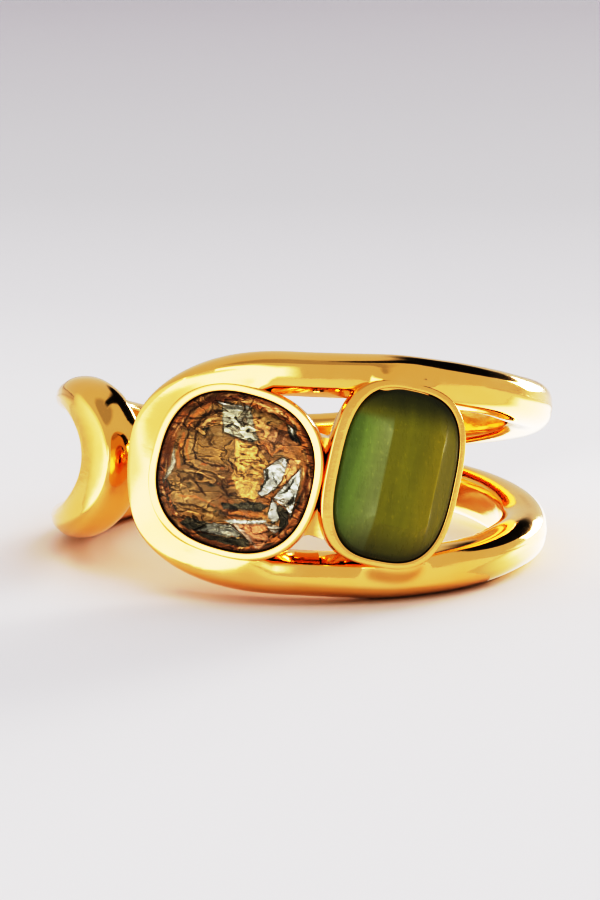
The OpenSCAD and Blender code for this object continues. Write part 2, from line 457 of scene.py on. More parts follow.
@dataclass
class Band:
    """Two rails from a rounded loop end at the front, round the back, to a hollow end that faces it."""

    bore_r: float = field(default_factory=TILT.bore_radius)
    band_t: float = 1.92
    front_h: float = 4.98
    right_h: float = 3.70
    back_h: float = 1.72
    left_h: float = 3.42
    sag: float = 0.98
    rail_w: float = 1.64
    right_gap: float = 1.62
    left_gap: float = 1.90
    round_out: float = 0.50
    round_in: float = 0.38
    loop_end_l: float = 7.45
    corner_up_n: float = 2.25
    corner_low_n: float = 2.50
    corner_turn: float = 30.0
    loop_end_t: float = 0.40
    facing_l: float = 5.24
    facing_in_l: float = 3.84
    loop_end_a: float = -2.7
    facing_a: float = 284.0
    facing_in_a: float = 277.0
    facing_lead: float = 0.25
    facing_n: float = 2.2
    facing_round: Pair = (0.5, 1.5)
    facing_turn: Pair = (5.0, 60.0)
    round_reach: int = 25
    side_depth: float = 1.1
    crisp_n: float = 1.6
    round_n: float = 2.15
    window_lean: float = 0.34
    face_drop: float = 0.02
    face_crown: float = 0.03
    valley: float = 0.05
    per_half: int = 300

    def __post_init__(self) -> None:
        """Works out the tables that run round the ring."""
        self.outer_r = self.bore_r + self.band_t
        self.mm_deg = self.outer_r * math.pi / 180
        self.front_gap = self.front_h - self.rail_w
        self.edge = SmoothTable([
            (0, self.front_h - 0.03), (20, self.front_h), (36, self.front_h - 0.2),
            (52, self.front_h - 0.54), (66, self.right_h + 0.4), (87, self.right_h),
            (110, self.right_h - 0.55), (135, self.back_h + 0.73), (160, self.back_h + 0.23),
            (180, self.back_h), (200, self.back_h + 0.13), (225, self.back_h + 0.63),
            (250, self.left_h - 0.47), (275, self.left_h - 0.12), (290, self.left_h),
        ])
        self.space = SmoothTable([
            (0, self.front_gap), (14, self.front_gap), (36, self.front_gap - 0.52),
            (52, self.front_gap - 0.84), (66, self.right_gap + 0.48), (87, self.right_gap),
            (102, self.right_gap - 0.44), (120, self.right_gap - 0.9), (136, self.right_gap - 1.26),
            (150, 0.1), (160, -0.1), (180, -0.2), (200, 0), (215, self.left_gap - 1.4),
            (235, self.left_gap - 0.6), (255, self.left_gap - 0.15), (277, self.left_gap),
        ])
        self.middle = SmoothTable([
            (-45, 0), (0, -0.04), (60, -0.05), (90, -0.08), (120, -0.14), (136, -0.2), (180, -0.61),
            (228, -1), (270, -0.51), (295, -0.2), (315, -0.05),
        ], self.sag)
        self.thick = SmoothTable([
            (-50, 0.7), (-43, 0.85), (-36, 1.25), (-28, 1.1), (-14, 0.43), (2, 0.08), (12, 0),
            (270, 0), (310, 0.25),
        ], self.loop_end_t)
        self.rounding = SmoothTable([
            (-45, 1), (20, 1), (38, 1.2), (55, 1.55), (75, 1.8), (110, 1.7), (150, 1.1), (200, 1),
            (250, 1.3), (277, 1.5), (290, 1.5),
        ], self.round_out)
        self.inner_rounding = SmoothTable([
            (-45, 0.8), (12, 0.8), (25, 1), (40, 1.3), (60, 1.8), (90, 2.1), (120, 1.5), (145, 1),
            (215, 1), (240, 1.3), (277, 1.6),
        ], self.round_in)
        self.corner_n = SmoothTable([
            (-45, self.crisp_n), (22, self.crisp_n), (55, self.round_n), (130, self.round_n),
            (170, self.crisp_n + 0.2), (200, self.crisp_n + 0.2), (250, self.round_n), (310, self.round_n),
        ])
        self.lean = SmoothTable([(-14, 0), (-9, 1), (12, 1), (30, 0.2), (45, 0)], self.window_lean)

    def loop_end(self, half: Half) -> Points:
        """Dense stations from the loop's far left to the middle of its rounded end.

        Args:
            half: upper or lower rail.

        Returns:
            Rows of outer angle, outer height, inner angle, inner height and rounding.
        """
        middle_n = (self.corner_up_n + self.corner_low_n) / 2
        corner = self.corner_up_n if half is Half.UPPER else self.corner_low_n
        t = np.linspace(0, 90, 700)
        n = middle_n + (corner - middle_n) * np.clip(t / self.corner_turn, 0, 1)
        outer = squared_oval(t, self.loop_end_l, self.front_h - 0.03, n)
        inner = squared_oval(t, self.loop_end_l - self.rail_w, self.front_gap, n)
        return np.stack([
            self.loop_end_a - outer[:, 0] / self.mm_deg, outer[:, 1],
            self.loop_end_a - inner[:, 0] / self.mm_deg, inner[:, 1], np.full(len(t), self.round_out),
        ], -1)

    def rail_run(self) -> Points:
        """Dense stations along a rail between its two closed ends, with columns as in loop_end."""
        a = np.linspace(self.loop_end_a, self.facing_in_a, 2500)[1:]
        return np.stack([a, self.edge.at(a), a, self.space.at(a), self.rounding.at(a)], -1)

    def facing_end(self) -> Points:
        """Dense stations along half of the end that faces the loop, with columns as in loop_end.

        Returns:
            One row for each station.
        """
        f = np.linspace(0, 1, 600)[1:]
        inner = squared_oval(90 * (1 - f), self.facing_in_l, self.left_gap, 2)
        lead = f < self.facing_lead
        t = np.clip(90 * (1 - (f - self.facing_lead) / (1 - self.facing_lead)), 0, 90)
        a = self.facing_in_a + (self.facing_a - self.facing_in_a) * f / self.facing_lead
        outer = squared_oval(t, self.facing_l, self.left_h, self.facing_n)
        crisp, soft = self.facing_round
        share = np.clip((t - self.facing_turn[0]) / self.facing_turn[1], 0, 1)
        rounding = np.where(lead, soft, crisp + (soft - crisp) * share) * self.round_out
        return np.stack([
            np.where(lead, a, self.facing_a + outer[:, 0] / self.mm_deg),
            np.where(lead, self.edge.at(a), outer[:, 1]),
            self.facing_in_a + inner[:, 0] / self.mm_deg, inner[:, 1], rounding,
        ], -1)

    def stations(self, half: Half) -> Points:
        """Evenly spaced stations along one rail, from the loop's far left to the facing end's tip.

        Args:
            half: upper or lower rail.

        Returns:
            Rows with columns as in loop_end.
        """
        rows = np.concatenate([self.loop_end(half), self.rail_run(), self.facing_end()])
        rows[:, 4] = smooth_run(rows[:, 4], self.round_reach)
        step_a = np.diff((rows[:, 0] + rows[:, 2]) / 2) * self.mm_deg
        step_z = np.diff((rows[:, 1] + rows[:, 3]) / 2)
        outer_step = np.hypot(np.diff(rows[:, 0]) * self.mm_deg, np.diff(rows[:, 1]))
        run = np.concatenate([[0], np.cumsum(0.5 * np.hypot(step_a, step_z) + 0.5 * outer_step)])
        at = np.linspace(0, run[-1], self.per_half)
        return np.stack([np.interp(at, run, rows[:, k]) for k in range(rows.shape[1])], -1)


class Section:
    """A rail's section: stretch, share of the rounding, depth, and place along it and round a corner."""

    bevel: float = 0.014
    foot_out: float = 0.79
    foot_in: float = 0.93
    knee_out: float = 0.70
    knee_in: float = 0.83
    side_out: float = 0.67
    side_in: float = 0.79
    side_n: float = 2.2
    side_end: float = 0.05

    def __init__(self, band: Band) -> None:
        """Lists the points once round the section, from the face's inner end.

        Args:
            band: the band, for its depths.
        """
        self.band = band
        deep, side = band.band_t, band.side_depth
        knee = deep - self.bevel
        turns = np.linspace(0, 90, 12)
        depths = np.linspace(side, deep - self.side_end, 6)[1:]
        low = [(((d - side) / (deep - side)) ** self.side_n, d) for d in depths]
        rows: list[tuple[Stretch, float, float, float, float]] = []
        rows += [(Stretch.FACE, 0, 0, g, 0) for g in np.linspace(0, 1, 9)[1:-1]]
        rows += [(Stretch.OUT, 0, 0, 0, t) for t in turns]
        rows += [(Stretch.OUT, self.side_out * share, d, 0, 0) for share, d in low]
        rows += [(Stretch.OUT, self.knee_out, knee, 0, 0), (Stretch.OUT, self.foot_out, deep, 0, 0)]
        rows += [(Stretch.BORE, 0, deep, g, 0) for g in np.linspace(1, 0, 6)[1:-1]]
        rows += [(Stretch.IN, self.foot_in, deep, 0, 0), (Stretch.IN, self.knee_in, knee, 0, 0)]
        rows += [(Stretch.IN, self.side_in * share, d, 0, 0) for share, d in reversed(low)]
        rows += [(Stretch.IN, 0, 0, 0, t) for t in reversed(turns)]
        self.stretch = np.array([row[0].value for row in rows])
        self.share, self.depth, self.along, self.turn = np.array([row[1:] for row in rows], float).T
        self.corner = (self.on(Stretch.OUT) | self.on(Stretch.IN)) & (self.depth == 0)

    def on(self, stretch: Stretch) -> Points:
        """Whether each point lies on a stretch of the section."""
        return self.stretch == stretch.value

    def corner_tables(self, n: Points) -> tuple[Points, Points]:
        """Share of the rounding and depth of every point, with a corner as round as each station asks.

        Args:
            n: for each station, how round its corners are; 2 is a quarter of an ellipse.

        Returns:
            Two tables with one row for each station.
        """
        band = self.band
        start = band.face_drop + band.face_crown
        power = (2 / n)[:, None]
        turn = np.radians(self.turn)[None, :]
        sin, cos = np.clip(np.sin(turn), 0, 1), np.clip(np.cos(turn), 0, 1)
        share = np.where(self.corner[None, :], 1 - sin**power, self.share[None, :])
        crown = band.face_drop + band.face_crown * (2 * self.along - 1) ** 2
        plain = np.where(self.on(Stretch.FACE), crown, self.depth)
        rounded = band.side_depth - (band.side_depth - start) * cos**power
        return share, np.where(self.corner[None, :], rounded, plain[None, :])

    def spread(self, share: Points, out_d: Points, in_d: Points,
               out_at_bore: Points, in_at_bore: Points) -> Points:
        """Places of the points across the rail, 0 at its inner edge and 1 at its outer edge.

        Args:
            share: table of the points' shares of the rounding.
            out_d: for each station, the outer rounding as a share of the rail's width.
            in_d: the same for the inner rounding.
            out_at_bore: the outer rounding's share at the bore.
            in_at_bore: the inner rounding's share at the bore.

        Returns:
            One row for each station, one place for each point.
        """
        f = np.zeros((len(out_d), len(self.stretch)))
        out_share = np.where(self.corner[None, :], out_d[:, None], out_at_bore[:, None])
        in_share = np.where(self.corner[None, :], in_d[:, None], in_at_bore[:, None])
        f = np.where(self.on(Stretch.OUT), 1 - share * out_share, f)
        f = np.where(self.on(Stretch.IN), share * in_share, f)
        f = np.where(self.on(Stretch.FACE), in_d[:, None] + (1 - out_d - in_d)[:, None] * self.along, f)
        foot_in, foot_out = self.foot_in * in_at_bore, 1 - self.foot_out * out_at_bore
        on_bore = foot_in[:, None] + (foot_out - foot_in)[:, None] * self.along
        return np.where(self.on(Stretch.BORE), on_bore, f)


@dataclass
class BandShape(SubAssembly):
    """The rails with their closed ends; the loop's face closes round one seat and is welded to the other."""

    stands_for: ClassVar[str | None] = "ring_band"

    band: Band
    seat: Seat
    green: Seat
    weld_reach: float = 0.16
    weld_drop: float = 0.03
    weld_span: Pair = (6.5, 11.0)
    weld_fade: Pair = (4.0, 6.0)
    weld_top: Pair = (0.35, 0.3)
    seat_edge: float = 0.05
    rim_step: float = 0.006
    rim_share: float = 0.02
    rise_end: float = 0.75
    valley_w: float = 0.8
    valley_end: float = -26.0
    valley_fade: float = 10.0
    corner_fade: float = 2.6
    bore_space: float = 0.02
    back: Pair = (90.0, 265.0)
    halves_apart: float = 0.003
    sharp: float = 34.0

    def __post_init__(self) -> None:
        """Works out the section and the edge of the seat's opening."""
        self.section = Section(self.band)
        self.edge_w = self.seat.half_w + self.seat.gap + self.seat_edge
        self.edge_h = self.seat.half_h + self.seat.gap + self.seat_edge

    def rail_points(self, rows: Points, half: Half) -> tuple[Points, Points, Points]:
        """Angle, height and radius of a free rail's section points.

        Args:
            rows: stations, with columns as in Band.loop_end.
            half: upper or lower rail.

        Returns:
            Three tables with one row for each station.
        """
        band, sec = self.band, self.section
        width = np.hypot((rows[:, 0] - rows[:, 2]) * band.mm_deg, rows[:, 1] - rows[:, 3])
        out_bore = np.minimum(rows[:, 4], band.round_out) / width
        share, depth = sec.corner_tables(band.corner_n.at(rows[:, 0]))
        in_d = band.inner_rounding.at(rows[:, 2]) / width
        f = sec.spread(share, rows[:, 4] / width, in_d, out_bore, band.round_in / width)
        lean = (band.lean.at(rows[:, 0]) / width)[:, None] * depth / band.band_t
        f = f - np.where(sec.on(Stretch.IN), lean, 0)
        a = rows[:, 2:3] + (rows[:, 0:1] - rows[:, 2:3]) * f
        z = half.value * (rows[:, 3:4] + (rows[:, 1:2] - rows[:, 3:4]) * f) + band.middle.at(a)
        return a, z, self.swell(a, z, self.radius(a, depth))

    def radius(self, a: Points, depth: Points) -> Points:
        """Distances from the bore's axis at some depths below the band's face."""
        band = self.band
        return band.outer_r - depth + band.thick.at(a) * np.maximum(0, 1 - depth / band.band_t)

    def swell(self, a: Points, z: Points, r: Points) -> Points:
        """Lifts a rail's face up to the green stone's rim, where the metal of the two runs together.

        Args:
            a: angles round the bore.
            z: heights.
            r: distances from the bore's axis.

        Returns:
            The distances with the lift.
        """
        seat = self.green
        wide = seat.gap + seat.rim
        flat = seat.from_wrap(a, z)
        beyond = oval_reach(flat, seat.half_w + wide, seat.half_h + wide, seat.squareness) - 1
        ring = seat.to_ring(flat[..., 0], flat[..., 1], np.full(a.shape, -self.weld_drop))
        level = np.hypot(ring[..., 0], ring[..., 1])
        near = smoothstep(1 - beyond / self.weld_reach)
        left = smoothstep((a - seat.angle + self.weld_span[0]) / self.weld_fade[0])
        right = smoothstep((seat.angle + self.weld_span[1] - a) / self.weld_fade[1])
        top = smoothstep((r - self.band.outer_r + self.weld_top[0]) / self.weld_top[1])
        return r + np.maximum(0, level - r) * near * (left * right) * top

    def valley(self, f: Points, out_a: Points, half: Half) -> Points:
        """Depth of the soft valley between the loop's edge and the seat.

        Args:
            f: places across the face, 0 at the seat and 1 at the loop's edge.
            out_a: the stations' angles.
            half: upper or lower rail; the lower one has the valley only at the far left.

        Returns:
            One depth for each place.
        """
        depth = self.band.valley * np.sin(np.pi * np.clip(f / self.valley_w, 0, 1)) ** 2
        if half is Half.UPPER:
            return depth
        return depth * smoothstep((self.valley_end - out_a) / self.valley_fade)[:, None]

    def wall_points(self, rim_xy: Points, depth: Points) -> tuple[Points, Points, Points]:
        """Angle, height and radius of the wall round the seat.

        Args:
            rim_xy: the seat's edge on the stone's flat, one x and y for each station.
            depth: depths below the band's face, one row for each station.

        Returns:
            Three tables with one row for each station.
        """
        band, seat = self.band, self.seat
        down = np.maximum(0, depth - band.face_drop - band.face_crown)
        k = seat.share(down)
        a, z, r = unwrap_points(seat.to_ring(rim_xy[:, 0:1] * k, rim_xy[:, 1:2] * k, -down))
        return a, z, np.where(depth >= band.band_t, band.bore_r, np.maximum(r, band.bore_r + self.bore_space))

    def filled_points(self, rows: Points, half: Half) -> tuple[Points, Points, Points]:
        """Angle, height and radius of the section points where the face runs on to the seat's edge.

        Args:
            rows: stations, with columns as in Band.loop_end.
            half: upper or lower rail.

        Returns:
            Three tables with one row for each station.
        """
        band, sec, seat = self.band, self.section, self.seat
        out_a, out_z = rows[:, 0], half.value * rows[:, 1] + band.middle.at(rows[:, 0])
        on_flat = seat.from_wrap(out_a, out_z)
        rim_xy = on_flat / oval_reach(on_flat, self.edge_w, self.edge_h, seat.squareness)[:, None]
        step = np.full(len(rows), self.rim_step)
        rim_a, rim_z, rim_r = unwrap_points(seat.to_ring(rim_xy[:, 0], rim_xy[:, 1], step))
        width = np.hypot((out_a - rim_a) * band.mm_deg, out_z - rim_z)
        out_d = rows[:, 4] / width
        share, depth = sec.corner_tables(band.corner_n.at(rows[:, 0]))
        f = sec.spread(share, out_d, np.full(len(rows), self.rim_share), out_d, np.zeros(len(rows)))
        a = rim_a[:, None] + (out_a - rim_a)[:, None] * f
        z = rim_z[:, None] + (out_z - rim_z)[:, None] * f
        r = self.radius(a, depth)
        edge_r = band.outer_r - band.face_drop + band.thick.at(rim_a)
        rise = smoothstep(1 - f / self.rise_end) * (rim_r - edge_r)[:, None]
        r = np.where(sec.on(Stretch.FACE), r + rise - self.valley(f, out_a, half), r)
        walls = self.wall_points(rim_xy, depth)
        a, z, r = (np.where(sec.on(Stretch.IN), wall, face) for wall, face in zip(walls, (a, z, r)))
        return a, z, r

    def corner_angle(self, rows: Points, half: Half) -> float:
        """Angle at which the rail's inner edge meets the seat's rim, where a window's corner lies.

        Args:
            rows: stations, with columns as in Band.loop_end.
            half: upper or lower rail.

        Returns:
            The outer angle of the station there.
        """
        seat = self.seat
        wide = seat.gap + seat.rim
        near = rows[(rows[:, 0] < 5) & (rows[:, 0] > seat.angle)]
        inner = seat.from_wrap(near[:, 2], half.value * near[:, 3] + self.band.middle.at(near[:, 2]))
        reach = oval_reach(inner, seat.half_w + wide, seat.half_h + wide, seat.squareness)
        return float(near[np.argmax(reach > 1), 0])

    def half_points(self, half: Half) -> tuple[Points, Points, Points]:
        """Angle, height and radius of all section points of one rail.

        Args:
            half: upper or lower rail.

        Returns:
            Three tables with one row for each station.
        """
        rows = self.band.stations(half)
        free = self.rail_points(rows, half)
        corner = self.corner_angle(rows, half)
        zone = rows[:, 0] < corner
        share = smoothstep((corner - rows[:, 0]) / self.corner_fade)[zone][:, None]
        filled = self.filled_points(rows[zone], half)
        for table, full in zip(free, filled):
            table[zone] = table[zone] * (1 - share) + full * share
        return free

    def ring_points(self) -> tuple[Points, Points]:
        """Points of the whole band as one closed run of sections.

        Returns:
            The points, and whether each lies inside, where the two rails have run together.
        """
        halves = []
        for half in Half:
            a, z, r = self.half_points(half)
            mid = self.band.middle.at(a)
            back = (a > self.back[0]) & (a < self.back[1])
            over = half.value * (z - mid)
            joined = back & (over <= 0)
            apart = mid + half.value * np.maximum(over, self.halves_apart)
            z = np.where(joined, mid, np.where(back, apart, z))
            halves.append((wrap(a, z, r), joined))
        upper, lower = halves
        points, joined = (np.concatenate([up, low[-2:0:-1]]) for up, low in zip(upper, lower))
        return points, joined

    def build(self) -> Piece:
        """Makes the rails as one closed mesh, without the faces between the joined rails.

        Returns:
            The piece.
        """
        points, joined = self.ring_points()
        inside = joined.reshape(-1)
        faces = grid_faces(*points.shape[:2], closed_rows=True)
        kept = [face for face in faces if not all(inside[i] for i in face)]
        return make_piece("band", points.reshape(-1, 3), kept, self.sharp)


@dataclass
class Cup(SubAssembly):
    """Rim, wall and closed floor of one stone's seat."""

    name: str
    seat: Seat
    bore_r: float
    count: int = 144
    edge_out: float = 0.09
    edge_in: float = 0.05
    undercut: float = 0.76
    wall_top: float = 0.25
    wall_end: float = 0.06
    wall_rings: int = 6
    edge_rings: tuple[int, int] = (6, 4)
    foot_rings: tuple[float, ...] = (0.05, 0.3, 0.6, 0.85)
    flat_rings: tuple[float, ...] = (0.3, 0.6)
    floor_rings: tuple[float, ...] = (0.97, 0.66, 0.33, 0.05)
    sharp: float = 38.0

    def underside(self, outer: Points) -> Rows:
        """From the underside's middle up the outer wall, whose foot follows the bore.

        Args:
            outer: the rim's outer outline.

        Returns:
            Outlines on the stone's flat with their depths below the rim.
        """
        seat = self.seat
        foot = seat.on_bore(outer[:, 0] * self.undercut, self.bore_r)
        for _ in range(6):
            foot = seat.on_bore(outer[:, 0] * seat.share(foot), self.bore_r)
        ends = outer * seat.share(foot)[:, None]
        rows: Rows = [(ends * k, seat.on_bore(ends[:, 0] * k, self.bore_r)) for k in self.foot_rings]
        for part in np.linspace(1, 0, self.wall_rings + 1)[:-1]:
            depth = self.edge_out + (foot - self.edge_out) * part
            rows.append((outer * seat.share(depth)[:, None], depth))
        return rows

    def rim(self, outer: Points, inner: Points) -> Rows:
        """Over the rim, with both of its edges rounded.

        Args:
            outer: the rim's outer outline.
            inner: its inner outline.

        Returns:
            Outlines on the stone's flat with their depths below the rim.
        """
        across = np.linalg.norm(outer - inner, axis=1, keepdims=True)
        inward = (inner - outer) / across
        rows: Rows = []
        for turn in np.radians(np.linspace(0, 90, self.edge_rings[0])):
            out = inward * self.edge_out * (1 - math.cos(turn))
            rows.append((outer + out, self.edge_out * (1 - math.sin(turn))))
        for part in self.flat_rings:
            flat = self.edge_out + part * (across - self.edge_out - self.edge_in)
            rows.append((outer + inward * flat, 0.0))
        for turn in np.radians(np.linspace(90, 0, self.edge_rings[1])):
            back = inward * self.edge_in * (1 - math.cos(turn))
            rows.append((inner - back, self.edge_in * (1 - math.sin(turn))))
        return rows

    def inside(self, inner: Points) -> Rows:
        """Down the inner wall and over the floor to its middle.

        Args:
            inner: the rim's inner outline.

        Returns:
            Outlines on the stone's flat with their depths below the rim.
        """
        seat = self.seat
        floor = seat.reach - seat.floor
        depths = (self.wall_top, seat.straight, floor - self.wall_end)
        foot = inner * float(seat.share(np.array(floor)))
        wall = [(inner * float(seat.share(np.array(depth))), depth) for depth in depths]
        return wall + [(foot * k, floor) for k in self.floor_rings]

    def build(self) -> Piece:
        """Makes the cup as one closed mesh.

        Returns:
            The piece.
        """
        seat = self.seat
        wide = seat.gap + seat.rim
        outer = even_oval(seat.half_w + wide, seat.half_h + wide, seat.squareness, self.count)
        opening = even_oval(seat.half_w + seat.gap, seat.half_h + seat.gap, seat.squareness, self.count)
        inner = seat.narrowed(opening)
        rows = self.underside(outer) + self.rim(outer, inner) + self.inside(inner)
        rings = [seat.to_ring(xy[:, 0], xy[:, 1], np.zeros(self.count) - depth) for xy, depth in rows]
        points, faces = capped(rings)
        return make_piece(self.name, points, faces, self.sharp)


def slab_ring(front_a: Points, back_a: Points, height: Points, front_r: Points, back_r: float) -> Points:
    """Closed ring of points of a wall that stands on the bore.

    Args:
        front_a: angles of its front.
        back_a: angles of its back.
        height: heights of both.
        front_r: the front's distance from the bore's axis.
        back_r: the back's distance.

    Returns:
        The points, along the front and back along the bore.
    """
    back = wrap(back_a, height, np.full(len(height), back_r))
    return np.concatenate([wrap(front_a, height, front_r), back[::-1]])


@dataclass
class Web(SubAssembly):
    """Short wall between the two rims, set back from them and leaning with them."""

    bore_r: float
    low: Pair = (-2.5, 2.5)
    high: Pair = (1.55, 6.0)
    half_a: float = 3.2
    depth: float = 1.65
    dish: float = 0.16
    dish_rise: float = 0.3
    crown: float = 0.07
    rows: int = 15
    cols: int = 13
    bore_space: float = 0.002
    sharp: float = 38.0

    def build(self) -> Piece:
        """Makes the wall as one closed mesh, with its ends and its face hollowed a little.

        Returns:
            The piece.
        """
        across = np.linspace(-1, 1, self.cols)
        rings = []
        for t in np.linspace(0, 1, self.rows):
            end = self.dish * (2 * t - 1) ** 3
            mid_a = self.low[1] + (self.high[1] - self.low[1]) * t
            height = self.low[0] + (self.high[0] - self.low[0]) * t + end * (across**2 - self.dish_rise)
            front = self.bore_r + self.depth - self.crown * (1 - across**2)
            angle = mid_a + self.half_a * across
            rings.append(slab_ring(angle, angle, height, front, self.bore_r + self.bore_space))
        points, faces = capped(rings)
        return make_piece("web", points, faces, self.sharp)


@dataclass
class Fork(SubAssembly):
    """Rounded root of the fork at the back right, where the two rails run together."""

    band: Band
    start: float = 127.0
    end: float = 155.0
    hollow: float = 4.0
    rise: Pair = (0.05, 1.6)
    half_h: Pair = (0.82, 0.5)
    rows: int = 16
    cols: int = 11
    bore_space: float = 0.002
    sharp: float = 38.0

    def build(self) -> Piece:
        """Makes the root as one closed mesh that rises from the bore to the rails' faces.

        Returns:
            The piece.
        """
        across = np.linspace(-1, 1, self.cols)
        rings = []
        for t in np.linspace(0, 1, self.rows):
            a = self.start + (self.end - self.start) * t
            up = self.rise[0] + (self.rise[1] - self.rise[0]) * math.sin(math.pi / 2 * t)
            half = self.half_h[0] + (self.half_h[1] - self.half_h[0]) * t
            height = self.band.middle.at(np.array(a)) + half * across
            angle = np.full(len(across), a)
            front = angle + self.hollow * (1 - t) * (1 - across**2)
            front_r = np.full(len(across), self.band.bore_r + up)
            rings.append(slab_ring(front, angle, height, front_r, self.band.bore_r + self.bore_space))
        points, faces = capped(rings)
        return make_piece("fork_root", points, faces, self.sharp)


def polygon_ring(corners: Points, toward: Points) -> Points:
    """Points where rays from the middle meet a polygon round it.

    Args:
        corners: the polygon's corners, anticlockwise.
        toward: one x and y for each ray.

    Returns:
        One x and y for each ray, on the polygon's edges.
    """
    turn = np.arctan2(toward[:, 1], toward[:, 0])
    found = np.zeros_like(toward)
    for start, end in zip(corners, np.roll(corners, -1, axis=0)):
        low = math.atan2(start[1], start[0])
        span = (math.atan2(end[1], end[0]) - low) % math.tau
        inside = (turn - low) % math.tau <= span + 1e-9
        side = end - start
        ray = np.stack([np.cos(turn), np.sin(turn)], -1)
        reach = (start[0] * side[1] - start[1] * side[0]) / (ray[:, 0] * side[1] - ray[:, 1] * side[0])
        found = np.where(inside[:, None], ray * reach[:, None], found)
    return found


def between(rings: list[Points], steps: list[int]) -> list[Points]:
    """Adds evenly spaced rings between neighbouring rings.

    Args:
        rings: rings of the same length.
        steps: how many steps to take from each ring to the next.

    Returns:
        All the rings.
    """
    found = [rings[0]]
    for start, end, count in zip(rings, rings[1:], steps):
        found += [start + (end - start) * k / count for k in range(1, count + 1)]
    return found


def tint_points(piece: Piece, name: str, colors: Points) -> None:
    """Stores one colour for each point of a piece.

    Args:
        piece: the piece.
        name: name of the attribute.
        colors: red, green, blue and shine of each point.
    """
    layer = piece.data.color_attributes.new(name, "FLOAT_COLOR", "POINT")
    layer.data.foreach_set("color", colors.astype(np.float32).ravel())


def mesh_points(piece: Piece) -> Points:
    """Points of a piece.

    Args:
        piece: the piece.

    Returns:
        Points in mm in the ring's own axes.
    """
    flat = np.empty(len(piece.data.vertices) * 3)
    piece.data.vertices.foreach_get("co", flat)
    return TILT.unplace(flat.reshape(-1, 3))


def wave(places: Points, seed: int) -> Points:
    """Smooth noise between -1 and 1.

    Args:
        places: places on a flat or in space, in lumps of the noise.
        seed: which noise to read.

    Returns:
        One value for each place.
    """
    deep = places[:, 2] if places.shape[1] > 2 else np.zeros(len(places))
    spots = np.stack([places[:, 0], places[:, 1], deep + 7.3 * seed], -1)
    return np.array([noise.noise(Vector(spot)) for spot in spots])


def drift(xy: Points, scale: float, reach: float, seed: int) -> Points:
    """Smooth noise that moves places on a flat a little.

    Args:
        xy: the places.
        scale: how many lumps of the noise a millimetre holds.
        reach: how far the noise moves a place.
        seed: which noise to read; the next one is read too.

    Returns:
        One x and y to add to each place.
    """
    return reach * np.stack([wave(xy * scale, seed), wave(xy * scale, seed + 1)], -1)


def path_distance(corners: Points, xy: Points) -> Points:
    """Distances of some places from a path.

    Args:
        corners: the path's corners.
        xy: the places.

    Returns:
        One distance for each place.
    """
    nearest = np.full(len(xy), np.inf)
    for start, end in zip(corners, corners[1:]):
        side = end - start
        along = np.clip((xy - start) @ side / (side @ side), 0, 1)
        nearest = np.minimum(nearest, np.linalg.norm(xy - start - along[:, None] * side, axis=1))
    return nearest


def polygon_depth(corners: Points, xy: Points) -> Points:
    """How far inside a polygon some places lie; outside it the value is negative.

    Args:
        corners: the polygon's corners.
        xy: the places.

    Returns:
        One distance for each place.
    """
    nearest = path_distance(np.concatenate([corners, corners[:1]]), xy)
    inside = np.zeros(len(xy), bool)
    for start, end in zip(corners, np.roll(corners, -1, axis=0)):
        side = end - start
        crossed = (start[1] > xy[:, 1]) != (end[1] > xy[:, 1])
        height = np.where(abs(side[1]) < 1e-9, 1e-9, side[1])
        inside ^= crossed & (xy[:, 0] < start[0] + (xy[:, 1] - start[1]) * side[0] / height)
    return np.where(inside, nearest, -nearest)


class Tint(Enum):
    """Named colours as red, green and blue."""

    def array(self) -> Points:
        """The colour's red, green and blue."""
        return np.array(self.value)


class LeafColor(Tint):
    """Colours of the leaf behind the brown glass."""

    TAN = (0.41, 0.285, 0.125)
    BROWN = (0.30, 0.18, 0.075)
    RUST = (0.50, 0.225, 0.08)
    UMBER = (0.25, 0.11, 0.045)
    BARK = (0.40, 0.26, 0.10)
    GOLD = (0.95, 0.62, 0.30)
    AMBER = (0.80, 0.50, 0.23)
    TOFFEE = (0.78, 0.48, 0.23)
    HONEY = (0.74, 0.47, 0.18)
    OCHRE = (0.62, 0.40, 0.17)
    SAND = (0.62, 0.42, 0.19)
    COPPER = (0.55, 0.33, 0.17)
    EMBER = (0.52, 0.25, 0.09)
    CLAY = (0.62, 0.34, 0.18)
    PEACH = (0.80, 0.62, 0.46)
    STRAW = (0.7, 0.66, 0.5)
    PEARL = (0.7, 0.66, 0.56)
    SILVER = (0.74, 0.77, 0.68)
    GREY = (0.60, 0.60, 0.46)
    SLATE = (0.42, 0.42, 0.35)
    SMOKE = (0.3, 0.3, 0.25)
    # Painted shade in the leaf's creases; the strokes' usual colour.
    CREASE_SHADE = (0.10, 0.05, 0.02)
    INK = (0.09, 0.08, 0.05)


